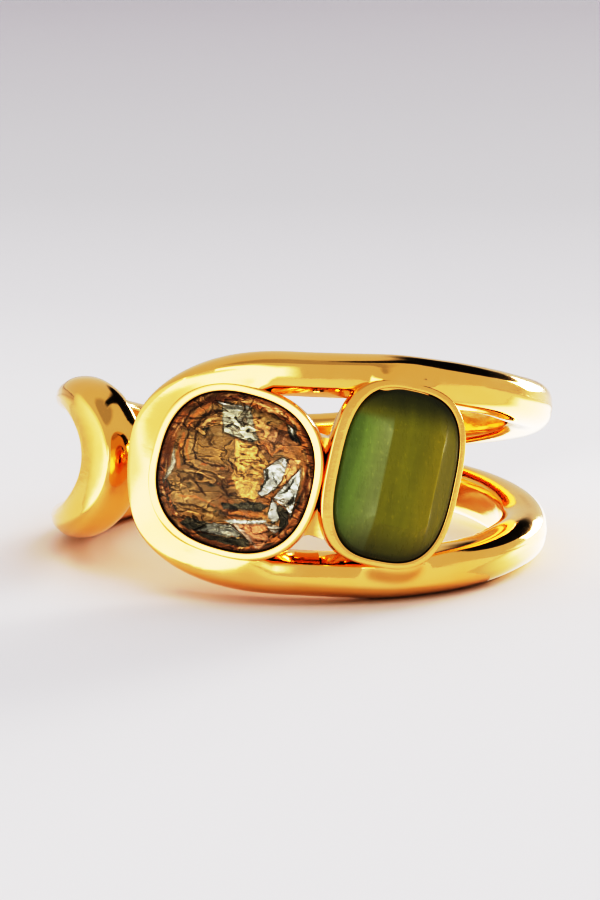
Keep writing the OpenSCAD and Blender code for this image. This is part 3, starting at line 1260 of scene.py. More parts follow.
@dataclass(frozen=True)
class Mark(ABC):
    """Mark on the leaf, drawn through corners on the stone's flat, with a colour and a shine of its own; its
    rim darkens its edge as painted shade where the leaf folds.
    """

    corners: tuple[Pair, ...]
    color: LeafColor
    shine: float = 0.2
    cracks: float = 0.0
    grain: float = 0.2
    # How much the mark's edge is darkened, as painted shade where the leaf folds.
    rim: float = 0.6
    soft: ClassVar[float] = 0.04
    rim_w: ClassVar[float] = 0.045
    rim_in: ClassVar[float] = 0.01
    crack_w: ClassVar[float] = 0.1

    @abstractmethod
    def depth(self, xy: Points) -> Points:
        """How far inside the mark some places lie."""

    def paint(self, tones: Points, xy: Points, fine: Points, cracks: Points) -> Points:
        """Paints the mark over the colours of some places, darkening its edge as painted shade.

        Args:
            tones: red, green, blue and shine of each place.
            xy: the places.
            fine: fine noise at each place.
            cracks: how far each place is from a crack.

        Returns:
            The colours with the mark.
        """
        depth = self.depth(xy)
        share = smoothstep(depth / self.soft + 0.5)[:, None]
        dark = np.clip(self.cracks * (1 - smoothstep(cracks / self.crack_w)), 0, 1)[:, None]
        # Painted shade along the mark's edge.
        rim = (self.rim * np.exp(-((depth + self.rim_in) / self.rim_w) ** 2))[:, None]
        tone = self.color.array() * np.clip(1 + self.grain * 1.6 * fine, 0.15, 1.9)[:, None]
        tone = (tone * (1 - dark) + LeafColor.INK.array() * dark) * (1 - rim)
        look = np.column_stack([tone, np.full(len(xy), self.shine)])
        return tones * (1 - share) + look * share


@dataclass(frozen=True)
class Patch(Mark):
    """Patch of the leaf inside its corners, which may slope."""

    slope: Pair = (0.0, 0.0)

    def depth(self, xy: Points) -> Points:
        """How far inside the patch some places lie."""
        return polygon_depth(np.array(self.corners), xy)

    def lift(self, xy: Points) -> Points:
        """Height that the patch's slope adds at some places."""
        away = xy - np.mean(np.array(self.corners), axis=0)
        return smoothstep(self.depth(xy) / 0.08 + 0.5) * (away @ np.array(self.slope))


@dataclass(frozen=True)
class Stroke(Mark):
    """Thin crease of the leaf along a path, drawn only in colour; a dark stroke is painted shade in the
    crease.
    """

    color: LeafColor = LeafColor.CREASE_SHADE
    shine: float = 0.3
    rim: float = 0.0
    half_w: float = 0.035

    def depth(self, xy: Points) -> Points:
        """How far inside the stroke some places lie."""
        return self.half_w - path_distance(np.array(self.corners), xy)


LEAF_PATCHES = (
    Patch(((-1.9, 1.05), (-0.4, 1.38), (-0.25, 0.9), (-0.55, 0.1), (-1.75, 0.2)),
          LeafColor.BARK, shine=0.4, grain=0.08),
    Patch(((-1.2, 2.45), (-0.9, 1.4), (0.3, 1.32), (0.62, 1.5), (0.1, 2.35), (0.0, 2.68), (-1.5, 2.55)),
          LeafColor.GREY, cracks=0.3, grain=0.25, slope=(0.0, 0.1)),
    Patch(((-1.5, 2.56), (0.0, 2.68), (0.05, 2.45), (-0.9, 2.38)),
          LeafColor.SILVER, shine=0.12, cracks=0.5, grain=0.3, slope=(-0.1, 0.3)),
    Patch(((-0.5, 2.1), (-0.1, 2.25), (0.05, 1.95), (-0.2, 1.8)),
          LeafColor.SILVER, shine=0.12, slope=(-0.1, 0.3)),
    Patch(((-0.55, 2.2), (-0.4, 2.02), (-0.15, 2.05), (-0.38, 1.95), (-0.6, 2.05)), LeafColor.INK),
    Patch(((-0.85, 1.72), (-0.6, 1.86), (-0.3, 1.75), (-0.6, 1.76), (-0.8, 1.6)), LeafColor.INK),
    Patch(((-0.25, 1.72), (0.1, 1.78), (0.25, 1.66), (0.0, 1.68)), LeafColor.INK),
    Patch(((0.0, 1.42), (0.25, 1.46), (0.5, 1.36), (0.2, 1.36)), LeafColor.INK),
    Patch(((0.08, 2.45), (1.0, 2.1), (0.95, 1.62), (0.6, 1.5), (0.25, 2.0)),
          LeafColor.AMBER, shine=0.35, cracks=0.3, grain=0.3),
    Patch(((1.0, 2.2), (1.6, 2.0), (1.7, 1.6), (0.95, 1.5)),
          LeafColor.COPPER, shine=0.3, cracks=0.2, grain=0.35),
    Patch(((1.5, 2.45), (2.0, 2.3), (2.15, 1.75), (1.8, 1.9)), LeafColor.INK, shine=0.15, grain=0.9),
    Patch(((1.62, 2.35), (1.8, 2.3), (2.0, 1.95), (1.85, 2.1)),
          LeafColor.SILVER, shine=0.15, cracks=0.9, grain=0.4),
    Patch(((-0.35, 1.3), (0.6, 1.25), (1.25, 0.7), (1.1, 0.0), (1.2, -0.5), (1.05, -1.15), (0.3, -0.8),
           (-0.1, -0.3), (-0.15, 0.5)),
          LeafColor.HONEY, shine=0.4, cracks=0.5, grain=0.55),
    Patch(((-0.3, -1.35), (0.3, -1.25), (0.9, -0.98), (1.7, -0.92), (1.35, -1.3), (0.5, -1.42), (-0.1, -1.6)),
          LeafColor.INK, shine=0.3, grain=0.9),
    Patch(((1.1, 0.4), (1.7, 1.08), (1.98, 1.05), (1.95, 0.2), (1.72, -0.3), (1.3, -0.7), (1.1, -0.62),
           (1.25, -0.1)),
          LeafColor.SILVER, shine=0.1, cracks=0.15, slope=(-0.12, 0.12)),
    Patch(((1.12, 0.42), (1.3, 0.2), (1.2, -0.2), (1.1, -0.55), (1.28, -0.3), (1.42, 0.1), (1.3, 0.45)),
          LeafColor.INK, grain=0.3),
    Patch(((1.45, 0.5), (1.75, 0.1), (1.82, -0.1), (1.6, 0.15)), LeafColor.SMOKE, grain=0.3),
    Patch(((2.02, 1.1), (2.35, 1.05), (2.42, 0.6), (2.02, 0.05), (1.85, -0.3)),
          LeafColor.TOFFEE, shine=0.3, cracks=0.2, grain=0.35),
    Patch(((2.55, 0.85), (2.68, 0.2), (2.66, -1.25), (2.3, -0.8), (2.0, -0.75), (1.75, -0.6), (2.1, 0.05)),
          LeafColor.SILVER, shine=0.08, cracks=0.2, slope=(-0.1, 0.05)),
    Patch(((2.5, 0.6), (2.2, -0.1), (1.9, -0.45), (2.3, -0.2)), LeafColor.INK, grain=0.3),
    Patch(((2.58, -0.2), (2.3, -0.75), (2.5, -0.7), (2.64, -0.5)), LeafColor.INK, grain=0.3),
    Patch(((1.72, -0.6), (2.0, -0.85), (2.2, -1.4), (1.95, -1.62), (1.7, -1.35)),
          LeafColor.SILVER, shine=0.1, cracks=0.1, grain=0.15, slope=(-0.16, 0.1)),
    Patch(((2.05, -0.78), (2.45, -0.95), (2.62, -1.45), (2.35, -1.95), (2.25, -1.45), (2.02, -1.1)),
          LeafColor.INK, grain=0.4),
    Patch(((0.0, -1.98), (1.7, -1.55), (1.72, -1.66), (0.3, -2.1)), LeafColor.SILVER, shine=0.15, cracks=0.3),
    Patch(((1.7, -1.62), (2.4, -1.7), (2.2, -1.95), (1.85, -1.9)), LeafColor.PEARL, cracks=0.2),
    Patch(((-1.1, -2.75), (-0.62, -2.3), (0.3, -2.08), (1.0, -2.42), (0.4, -2.6)),
          LeafColor.SLATE, shine=0.15, cracks=0.1, slope=(-0.05, -0.2)),
    Patch(((-1.1, -2.78), (0.4, -2.62), (1.15, -2.45), (1.35, -2.8), (0.3, -2.95), (-0.8, -2.9)),
          LeafColor.INK, grain=0.4),
    Patch(((0.5, -2.05), (1.7, -1.7), (2.02, -2.25), (1.7, -2.85), (1.15, -2.45)),
          LeafColor.CLAY, shine=0.25, cracks=0.1, grain=0.15),
    Patch(((0.35, -2.08), (0.62, -2.02), (1.3, -2.45), (1.7, -2.8), (1.15, -2.55)),
          LeafColor.PEACH, cracks=0.1),
    Patch(((-1.75, -2.6), (-1.5, -2.3), (-0.7, -2.25), (-0.62, -2.5), (-1.1, -2.75)),
          LeafColor.INK, shine=0.25, grain=1.0),
    Patch(((-2.75, 0.4), (-2.5, -0.3), (-2.6, -0.8), (-2.85, -1.2), (-2.7, -0.4)),
          LeafColor.STRAW, cracks=0.5, grain=0.3),
)

LEAF_STROKES = (
    Stroke(((-1.95, 1.15), (-1.92, 0.40), (-1.72, 0.08), (-1.00, 0.00), (-0.50, 0.08)), half_w=0.04),
    Stroke(((-1.74, 0.95), (-1.68, 0.32), (-1.50, 0.16), (-0.70, 0.18)), half_w=0.025),
    Stroke(((-2.28, 1.00), (-2.36, 0.35), (-2.12, -0.22), (-1.55, -0.32)), half_w=0.04),
    Stroke(((-2.45, 0.90), (-2.52, 0.10), (-2.32, -0.42)), LeafColor.EMBER, half_w=0.07),
    Stroke(((-2.20, 0.80), (-2.22, 0.35), (-2.00, -0.05)), LeafColor.EMBER, half_w=0.04),
    Stroke(((-2.10, -0.48), (-1.20, -0.40), (-0.40, -0.34)), LeafColor.SAND, half_w=0.03),
    Stroke(((-2.35, -0.62), (-1.60, -0.52), (-0.90, -0.56)), half_w=0.03),
    Stroke(((-1.52, -0.82), (-1.12, -1.18)), half_w=0.045),
    Stroke(((-1.25, -1.00), (-1.00, -1.28))),
    Stroke(((-0.38, -0.70), (-0.05, -0.98), (0.22, -0.86)), half_w=0.05),
    Stroke(((-0.45, -0.48), (-0.15, -0.62), (0.20, -0.50))),
    Stroke(((-0.55, 0.50), (-0.25, 0.30), (-0.10, 0.05))),
    Stroke(((-2.05, -1.55), (-1.30, -1.42), (-0.50, -1.55)), LeafColor.EMBER),
    Stroke(((-2.10, -1.90), (-1.30, -1.75), (-0.60, -1.85))),
    Stroke(((-1.90, -2.10), (-1.20, -2.02), (-0.50, -1.98)), LeafColor.SAND, half_w=0.03),
    Stroke(((-2.02, 1.35), (-1.86, 1.78), (-1.50, 2.08), (-1.02, 2.22)), half_w=0.06),
    Stroke(((-2.36, 1.20), (-2.20, 1.80), (-1.78, 2.22)), LeafColor.EMBER, half_w=0.06),
    Stroke(((-2.54, 1.30), (-2.40, 1.90), (-1.92, 2.36)), half_w=0.05),
    Stroke(((-1.76, 1.40), (-1.62, 1.72), (-1.25, 1.92)), LeafColor.SAND, half_w=0.06),
    Stroke(((1.10, 1.60), (1.40, 1.20), (1.70, 1.32)), half_w=0.04),
    Stroke(((0.80, 1.45), (1.25, 1.05), (1.60, 1.45), (1.85, 1.40)), LeafColor.EMBER, half_w=0.05),
    Stroke(((0.20, -1.60), (0.90, -1.52), (1.65, -1.40)), LeafColor.EMBER, half_w=0.05),
    Stroke(((0.10, -1.75), (0.90, -1.66), (1.50, -1.55))),
)


@dataclass
class Leaf:
    """Crinkled leaf behind the brown glass: its creases and the colours painted on it, with painted shade and
    highlights along its creases and painted shade toward the girdle.
    """

    seat: Seat
    patches: tuple[Patch, ...] = LEAF_PATCHES
    strokes: tuple[Stroke, ...] = LEAF_STROKES
    seed: int = 11
    flake_count: int = 260
    border_length: Pair = (0.3, 1.1)
    border_width: Pair = (0.06, 0.14)
    inner_length: Pair = (0.15, 0.45)
    inner_width: Pair = (0.08, 0.20)
    calm_side: Pair = (-2.6, 0.6)
    edge_span: Pair = (0.85, 0.04)
    swell_h: float = 0.06
    swell_scale: float = 0.6
    fold_h: float = 0.045
    fold_scale: Pair = (0.9, 1.7)
    fold_skew: Pair = (0.3, 0.6)
    crease_h: float = 0.018
    crease_scale: float = 2.7
    busy_span: Pair = (-0.9, 0.8)
    calm: float = 0.25
    warmth: float = 0.5
    # Painted shade toward the girdle: how much, and over which span of reach.
    girdle_shade: float = 0.4
    girdle_span: Pair = (0.97, 0.03)
    plain_shine: float = 0.4
    border_shine: float = 0.3

    def crumple(self, xy: Points) -> Points:
        """Height of the leaf's creases above its plain bowl.

        Args:
            xy: places on the flat.

        Returns:
            One height for each place.
        """
        rng = np.random.default_rng(self.seed)
        turn, shift = rng.uniform(*self.fold_skew), rng.uniform(-5, 5, 2)
        warped = xy + drift(xy, scale=1.6, reach=0.15, seed=1)
        skewed = warped * self.fold_scale + turn * warped[:, ::-1] + shift
        folds = 1 - 2 * abs(wave(skewed, 3))
        creases = 1 - 2 * abs(wave(skewed * self.crease_scale, 4))
        busy = rise(warped[:, 0], self.busy_span) * (1 - self.calm) + self.calm
        height = self.swell_h * wave(xy * self.swell_scale, 24)
        height = height + busy * (self.fold_h * folds + self.crease_h * creases)
        for patch in self.patches:
            height = height + patch.lift(xy)
        return height

    def flakes(self) -> list[Patch]:
        """Small flakes: most in the busy right half, and long ones that run round the border.

        Returns:
            The flakes in the order in which they're painted.
        """
        rng = np.random.default_rng(self.seed)
        seat = self.seat
        palette = (
            LeafColor.GOLD, LeafColor.RUST, LeafColor.RUST, LeafColor.BROWN, LeafColor.INK, LeafColor.OCHRE,
        )
        found = []
        for k in range(self.flake_count):
            turn = np.array([rng.uniform(0, 360)])
            border = k % 2 == 0
            share = rng.uniform(0.86, 0.99) if border else math.sqrt(rng.uniform(0.01, 0.70))
            middle = squared_oval(turn, seat.half_w * share, seat.half_h * share, seat.squareness)[0]
            if not border and middle[0] < rng.uniform(*self.calm_side):
                continue
            length = rng.uniform(*(self.border_length if border else self.inner_length))
            width = rng.uniform(*(self.border_width if border else self.inner_width))
            slant = math.atan2(middle[1], middle[0]) + math.pi / 2 if border else rng.normal(0.35, 0.5)
            along = np.array([math.cos(slant), math.sin(slant)]) * length / 2
            aside = np.array([-along[1], along[0]]) / (length / 2) * width / 2
            kite = (middle - along, middle - aside, middle + along, middle + aside * rng.uniform(0.4, 1.6))
            corners = tuple((float(x), float(y)) for x, y in kite)
            color = palette[int(rng.integers(len(palette)))]
            found.append(Patch(corners, color, shine=0.3, grain=0.25, rim=0.2))
        return found

    def ground(self, xy: Points) -> Points:
        """Colours of the plain leaf between the patches, with painted shade and highlights along its crease
        lines.

        Args:
            xy: the places.

        Returns:
            Red, green and blue of each place.
        """
        mix = smoothstep(0.5 + 0.9 * wave(xy * (0.8, 1.6), 9) + 0.5 * wave(xy * (2, 4), 10))[:, None]
        color = LeafColor.BROWN.array() * mix + LeafColor.TAN.array() * (1 - mix)
        warm = self.warmth * smoothstep(wave(xy * (1.3, 2.2), 25) * 2.0 + 0.5 * xy[:, 0] - 0.1)[:, None]
        color = color * (1 - warm) + LeafColor.RUST.array() * warm
        # Crease lines: each darkens a thin line as painted shade and lightens a line beside it as painted
        # highlight.
        for scale, seed, width, dark in ((1.0, 12, 0.06, 0.5), (1.7, 15, 0.09, 0.6), (2.8, 18, 0.12, 0.5)):
            line = abs(wave(xy * (scale, scale * 2.1), seed))
            shown = smoothstep(0.4 + 1.8 * wave(xy * 0.9, seed + 1))
            stroke = shown * (1 - smoothstep(line / width))
            light = shown * np.exp(-(((line - 2.2 * width) / width) ** 2))
            color = color * (1 - dark * stroke + 0.35 * light)[:, None]
        return color

    def border(self, xy: Points, reach: Points) -> Points:
        """Colours of the streaked ring near the girdle, darkened toward the girdle as painted shade.

        Args:
            xy: the places.
            reach: how far out each place lies, 1 at the girdle.

        Returns:
            Red, green and blue of each place.
        """
        turn = xy / np.maximum(np.linalg.norm(xy, axis=1, keepdims=True), 1e-6)
        round_it = np.column_stack([turn * 1.1, reach * 16])
        streak = smoothstep(0.5 + 1.3 * wave(round_it, 20) + 0.5 * wave(round_it * (3, 3, 2), 21))[:, None]
        color = LeafColor.UMBER.array() * (1 - streak) + LeafColor.RUST.array() * streak
        # Painted shade toward the girdle.
        return color * (1 - self.girdle_shade * rise(reach, self.girdle_span))[:, None]

    def tones(self, xy: Points) -> Points:
        """Colours and shine of the leaf at some places on the flat, painted shade and highlights included.

        Args:
            xy: the places.

        Returns:
            Red, green, blue and shine of each place.
        """
        reach = oval_reach(xy, self.seat.half_w, self.seat.half_h, self.seat.squareness)
        moved = xy + drift(xy, scale=5, reach=0.05, seed=5) + drift(xy, scale=12, reach=0.03, seed=7)
        lines = 0.35 - abs(wave(moved * (4, 9), 26))
        fine = 0.8 * wave(moved * (3, 5), 13) + 1.2 * lines + 0.5 * wave(moved * 11, 14)
        cracks = abs(wave(moved * 1.7, 16) + 0.35 * wave(moved * 4, 17))
        outer = rise(reach + 0.02 * fine, self.edge_span)[:, None]
        plain = np.column_stack([self.ground(moved), np.full(len(xy), self.plain_shine)])
        border = np.column_stack([self.border(xy, reach), np.full(len(xy), self.border_shine)])
        tones = plain * (1 - outer) + border * outer
        for mark in (*self.flakes(), *self.strokes, *self.patches):
            tones = mark.paint(tones, moved, fine, cracks)
        return np.clip(tones, 0.004, 1.6)


@dataclass
class BrownStone(SubAssembly):
    """Cushion of smoky brown glass: a shallow faceted crown over a crinkled, foil-like back."""

    slot: ClassVar[Slot] = Slot.BROWN
    stands_for: ClassVar[str | None] = "brown_stone"

    seat: Seat
    crown: float = 0.34
    count: int = 372
    facets: int = 12
    back: float = 0.13
    back_rings: int = 92
    back_end: float = 0.012
    leaf_depth: float = 0.14
    leaf_edge: float = 0.12
    shallow: float = 0.13
    deepest: float = 1.2
    sharp: float = 11.0

    def __post_init__(self) -> None:
        """Lays the leaf behind the glass."""
        self.leaf = Leaf(self.seat)

    def outline(self, share: float, n: float) -> Points:
        """Smooth outline at a share of the girdle's size."""
        return even_oval(self.seat.half_w * share, self.seat.half_h * share, n, self.count)

    def facet_ring(self, share: float, n: float, turn: float) -> Points:
        """Faceted outline at a share of the girdle's size.

        Args:
            share: share of the girdle's size.
            n: how square the outline is.
            turn: part of a facet by which the corners are turned.

        Returns:
            One x and y for each point of the girdle.
        """
        angles = (np.arange(self.facets) + turn) * 360 / self.facets
        corners = squared_oval(angles, self.seat.half_w * share, self.seat.half_h * share, n)
        return polygon_ring(corners, self.outline(1, self.seat.squareness))

    def crown_rings(self) -> list[Points]:
        """Rings from the foot of the girdle to the table's middle.

        Returns:
            The crown's rings.
        """
        girdle = self.outline(1, self.seat.squareness)
        rows = [
            (girdle, -0.12), (girdle, -0.05), (girdle * 0.992, -0.03),
            (self.facet_ring(0.9, 2.6, 0), 0.08), (self.facet_ring(0.74, 2.4, 0.5), self.crown * 0.68),
            (self.facet_ring(0.58, 2.4, 0), self.crown - 0.01),
            (self.facet_ring(0.28, 2.2, 0), self.crown - 0.004),
        ]
        return [self.seat.to_ring(xy[:, 0], xy[:, 1], np.full(self.count, out)) for xy, out in rows]

    def leaf_rings(self) -> list[Points]:
        """Rings of the crinkled back, from the foot of the girdle to its middle.

        Returns:
            The back's rings.
        """
        girdle = self.outline(1, self.seat.squareness)
        rings = []
        for share in np.linspace(1, self.back_end, self.back_rings)[1:]:
            xy = girdle * share
            bowl = self.leaf_depth + self.back * (1 - share**8)
            depth = bowl - fall(share, (1, self.leaf_edge)) * self.leaf.crumple(xy)
            rings.append(self.seat.to_ring(xy[:, 0], xy[:, 1], -np.clip(depth, self.shallow, self.deepest)))
        return rings

    def build(self) -> Piece:
        """Makes the stone as one closed mesh: clear glass in front, and the leaf's colours on its back.

        Returns:
            The piece.
        """
        crown = self.crown_rings()[::-1]
        points, faces = capped(crown + self.leaf_rings())
        front = (len(crown) - 2) * self.count
        back = len(faces) - front - 2 * self.count
        places = [0] * front + [1] * back + [0, 1] * self.count
        piece = make_piece("smoky_stone", points, faces, self.sharp, places)
        x, y, _ = self.seat.on_flat(mesh_points(piece))
        tint_points(piece, LEAF_TONE, self.leaf.tones(np.stack([x, y], -1)))
        return piece


class GlassColor(Tint):
    """Colours of the green glass: its own olive and amber, the left bevel's green with its painted sheen, and
    the painted shade of its end bevels.
    """

    # Painted shade of the top and bottom bevels.
    END_SHADE = (0.070, 0.070, 0.006)
    OLIVE = (0.290, 0.275, 0.020)
    AMBER = (0.350, 0.300, 0.018)
    # The left bevel's green, partly the glass's own colour and partly painted sheen, and the grey of the
    # painted sheen beside the table.
    LEAFY = (0.230, 0.330, 0.060)
    SHEEN = (0.340, 0.370, 0.130)


@dataclass
class GreenStone(SubAssembly):
    """Long cushion of silky green glass with a table and eight bevels."""

    slot: ClassVar[Slot] = Slot.GREEN
    stands_for: ClassVar[str | None] = "green_stone"

    seat: Seat
    crown: float = 0.60
    count: int = 240
    table_w: float = 0.44
    table_h: float = 0.59
    table_x: float = 0.18
    table_y: float = 0.01
    cut: float = 0.24
    dip: float = 0.14
    # Painted sheen: the left bevel is painted lighter than the table, less so toward its left end.
    bevel_start: float = -0.85
    bevel_low: float = 0.72
    bevel_span: Pair = (-0.82, 0.2)
    bevel_top: Pair = (0.70, 0.12)
    amber_span: Pair = (0.1, 0.6)
    # Painted highlight: a thin light line along the table's right edge.
    line_w: float = 0.012
    line_end: Pair = (0.62, 0.08)
    line_light: float = 0.2
    # Painted shade: the bevel right of the table is painted darker.
    right_shade: float = 0.20
    right_soft: float = 0.03
    # Painted shade: the top and bottom bevels are painted dark.
    top_span: Pair = (0.52, 0.40)
    low_span: Pair = (0.50, 0.5)
    low_share: float = 0.80
    # Painted shade: darker toward the girdle.
    girdle_shade: float = 0.45
    girdle_span: Pair = (0.90, 0.08)
    silk_depth: float = 0.13
    sharp: float = 9.0

    def girdle(self) -> Points:
        """Outline of the stone, narrower on the left like its seat."""
        seat = self.seat
        return seat.narrowed(even_oval(seat.half_w, seat.half_h, seat.squareness, self.count))

    def bevel_ring(self, share: float) -> Points:
        """Outline of the table, a rectangle with cut corners, as seen from the girdle's points.

        Args:
            share: share of the table's size.

        Returns:
            One x and y for each point of the girdle.
        """
        w, h = self.seat.half_w * self.table_w * share, self.seat.half_h * self.table_h * share
        c = self.cut * w
        quarter = [(w, h - c), (w - c, h)]
        corners = quarter + [(-x, y) for x, y in quarter[::-1]]
        corners = np.array(corners + [(x, -y) for x, y in corners[::-1]])
        middle = (self.table_x * self.seat.half_w, self.table_y * self.seat.half_h)
        return polygon_ring(corners, self.girdle()) + middle

    def rings(self) -> list[Points]:
        """Rings from the middle of the back, over the girdle and the bevels, to the table's middle.

        Returns:
            All rings of the stone.
        """
        girdle = self.girdle()
        dip = self.dip * smoothstep(-girdle[:, 0] / self.seat.half_w * 1.4)
        rows = [
            (girdle * 0.4, -1.2), (girdle * 0.75, -0.9), (girdle, -0.3), (girdle, -0.02 - dip),
            (girdle * 0.99, 0.02 - dip), (girdle * 0.95, 0.11 - dip * 0.8),
            (self.bevel_ring(1), self.crown - 0.01), (self.bevel_ring(0.2), self.crown - 0.002),
        ]
        rings = [self.seat.to_ring(xy[:, 0], xy[:, 1], out + np.zeros(self.count)) for xy, out in rows]
        return between(rings, [1, 1, 1, 1, 3, 28, 16])

    def sheen_left_bevel(self, u: Points) -> Points:
        """Colours of the left bevel, painted lighter than the table as a painted sheen.

        Args:
            u: places across the stone, -1 at its left and 1 at its right.

        Returns:
            Red, green and blue of each place.
        """
        left = self.table_x - self.table_w
        mix = rise(u, (self.bevel_start, left - self.bevel_start))[:, None]
        color = GlassColor.LEAFY.array() * (1 - mix) + GlassColor.SHEEN.array() * mix
        return color * (self.bevel_low + (1 - self.bevel_low) * rise(u, self.bevel_span))[:, None]

    def colors(self, xy: Points) -> Points:
        """Colours of the glass at some places on the flat, with its painted sheen, highlight and shade.

        Args:
            xy: the places.

        Returns:
            Red, green, blue and shine of each place.
        """
        u, v = xy[:, 0] / self.seat.half_w, xy[:, 1] / self.seat.half_h
        reach = oval_reach(xy, self.seat.half_w, self.seat.half_h, self.seat.squareness)
        silk = wave(xy * (2.6, 0.5), 21) + 0.5 * wave(xy * (7, 1.2), 22) + 0.4 * wave(xy * (1.2, 6), 23)
        left, right = self.table_x - self.table_w, self.table_x + self.table_w
        olive, amber = GlassColor.OLIVE.array(), GlassColor.AMBER.array()
        color = olive + (amber - olive) * rise(u, self.amber_span)[:, None]
        # The left bevel takes its painted sheen.
        side = (fall(u, (left + self.line_w, 2 * self.line_w)) * fall(v, self.bevel_top))[:, None]
        color = color * (1 - side) + self.sheen_left_bevel(u) * side
        # Painted highlight along the table's right edge.
        line = self.line_light * np.exp(-(((u - right) / self.line_w) ** 2)) * fall(abs(v), self.line_end)
        # Painted shade on the right bevel, with the painted highlight added.
        color = color * (1 - self.right_shade * rise(u, (right, self.right_soft)) + line)[:, None]
        # Painted shade on the top and bottom bevels.
        ends = np.maximum(rise(v, self.top_span), self.low_share * rise(-v, self.low_span))
        color = color + (GlassColor.END_SHADE.array() - color) * ends[:, None]
        # Painted shade toward the girdle.
        color = color * (1 - self.girdle_shade * rise(reach, self.girdle_span))[:, None]
        color = np.clip(color * (1 + self.silk_depth * silk[:, None]), 0.001, 1)
        return np.column_stack([color, np.ones(len(xy))])

    def build(self) -> Piece:
        """Makes the stone as one closed mesh.

        Returns:
            The piece.
        """
        points, faces = capped(self.rings())
        piece = make_piece("green_stone_cut", points, faces, self.sharp)
        x, y, _ = self.seat.on_flat(mesh_points(piece))
        tint_points(piece, GLASS_TONE, self.colors(np.stack([x, y], -1)))
        return piece


class Bench:
    """Small helper that sets up a material's nodes."""

    def __init__(self, name: str) -> None:
        """Starts a material with one Principled shader.

        Args:
            name: name of the material.
        """
        self.material = bpy.data.materials.new(name)
        self.material.use_nodes = True
        self.tree = self.material.node_tree
        self.tree.nodes.clear()
        self.out = self.tree.nodes.new("ShaderNodeOutputMaterial")
        self.shader = self.tree.nodes.new("ShaderNodeBsdfPrincipled")
        self.tree.links.new(self.shader.outputs["BSDF"], self.out.inputs["Surface"])

    def set(self, **values: object) -> None:
        """Sets the shader's own sockets; an underscore in a name stands for a space."""
        for name, value in values.items():
            self.shader.inputs[name.replace("_", " ")].default_value = value

    def node(self, kind: str, **values: object) -> bpy.types.Node:
        """Adds a node.

        Args:
            kind: Blender's name of the node.
            values: settings of the node, or of its sockets where it has no such setting.

        Returns:
            The node.
        """
        made = self.tree.nodes.new(kind)
        for name, value in values.items():
            if hasattr(made, name):
                setattr(made, name, value)
            else:
                made.inputs[name.replace("_", " ")].default_value = value
        return made

    def link(self, source: Socket, target: Socket) -> None:
        """Joins two sockets."""
        self.tree.links.new(source, target)

    def feed(self, name: str, source: Socket) -> None:
        """Leads a value into one of the shader's sockets."""
        self.link(source, self.shader.inputs[name])

    def ramp(self, source: Socket, stops: Stops) -> Socket:
        """Maps a value to colours.

        Args:
            source: the value, 0 to 1.
            stops: places with their colours.

        Returns:
            The colour socket.
        """
        made = self.tree.nodes.new("ShaderNodeValToRGB")
        points = made.color_ramp.elements
        while len(points) < len(stops):
            points.new(0.5)
        for point, (place, color) in zip(points, stops):
            point.position = place
            point.color = (*color, 1.0)
        self.link(source, made.inputs["Fac"])
        return made.outputs["Color"]

    def spread(self, source: Socket, before: Pair, after: Pair) -> Socket:
        """Maps one range of a value to another.

        Args:
            source: the value.
            before: lowest and highest of what is read.
            after: what they become.

        Returns:
            The mapped value.
        """
        made = self.tree.nodes.new("ShaderNodeMapRange")
        for name, value in zip(("From Min", "From Max", "To Min", "To Max"), before + after):
            made.inputs[name].default_value = value
        self.link(source, made.inputs["Value"])
        return made.outputs["Result"]

    def times(self, first: Socket, second: Socket) -> Socket:
        """Multiplies two colours.

        Args:
            first: one colour.
            second: the other colour.

        Returns:
            The product.
        """
        made = self.node("ShaderNodeMix", data_type="RGBA", blend_type="MULTIPLY")
        made.inputs["Factor"].default_value = 1.0
        self.link(first, made.inputs["A"])
        self.link(second, made.inputs["B"])
        return made.outputs["Result"]

    def noise(self, scale: float, detail: float, stretch: tuple[float, float, float] = (1, 1, 1),
              twist: float = 0.0) -> Socket:
        """Noise in the piece's own metres.

        Args:
            scale: how many lumps a metre holds.
            detail: how much fine detail it has.
            stretch: scale of each axis.
            twist: how much the lumps are bent.

        Returns:
            The noise value.
        """
        place = self.tree.nodes.new("ShaderNodeTexCoord")
        mapping = self.node("ShaderNodeMapping")
        mapping.inputs["Scale"].default_value = stretch
        self.link(place.outputs["Object"], mapping.inputs["Vector"])
        made = self.node("ShaderNodeTexNoise", Scale=scale, Detail=detail, Distortion=twist)
        self.link(mapping.outputs["Vector"], made.inputs["Vector"])
        return made.outputs["Fac"]

    def bump(self, height: Socket, strength: float, distance: float) -> None:
        """Bumps the surface by a height.

        Args:
            height: the height value.
            strength: strength of the bump.
            distance: height in metres that a value of 1 stands for.
        """
        made = self.node("ShaderNodeBump", Strength=strength, Distance=distance)
        self.link(height, made.inputs["Height"])
        self.feed("Normal", made.outputs["Normal"])


@dataclass(frozen=True)
class Finish(ABC):
    """Finish of a piece, or of something that stands round the ring."""

    name: str

    @abstractmethod
    def lay(self, bench: Bench) -> None:
        """Sets up the material's nodes.

        Args:
            bench: the material's bench.
        """

    def material(self) -> Material:
        """Makes the material.

        Returns:
            The material.
        """
        bench = Bench(self.name)
        self.lay(bench)
        return bench.material


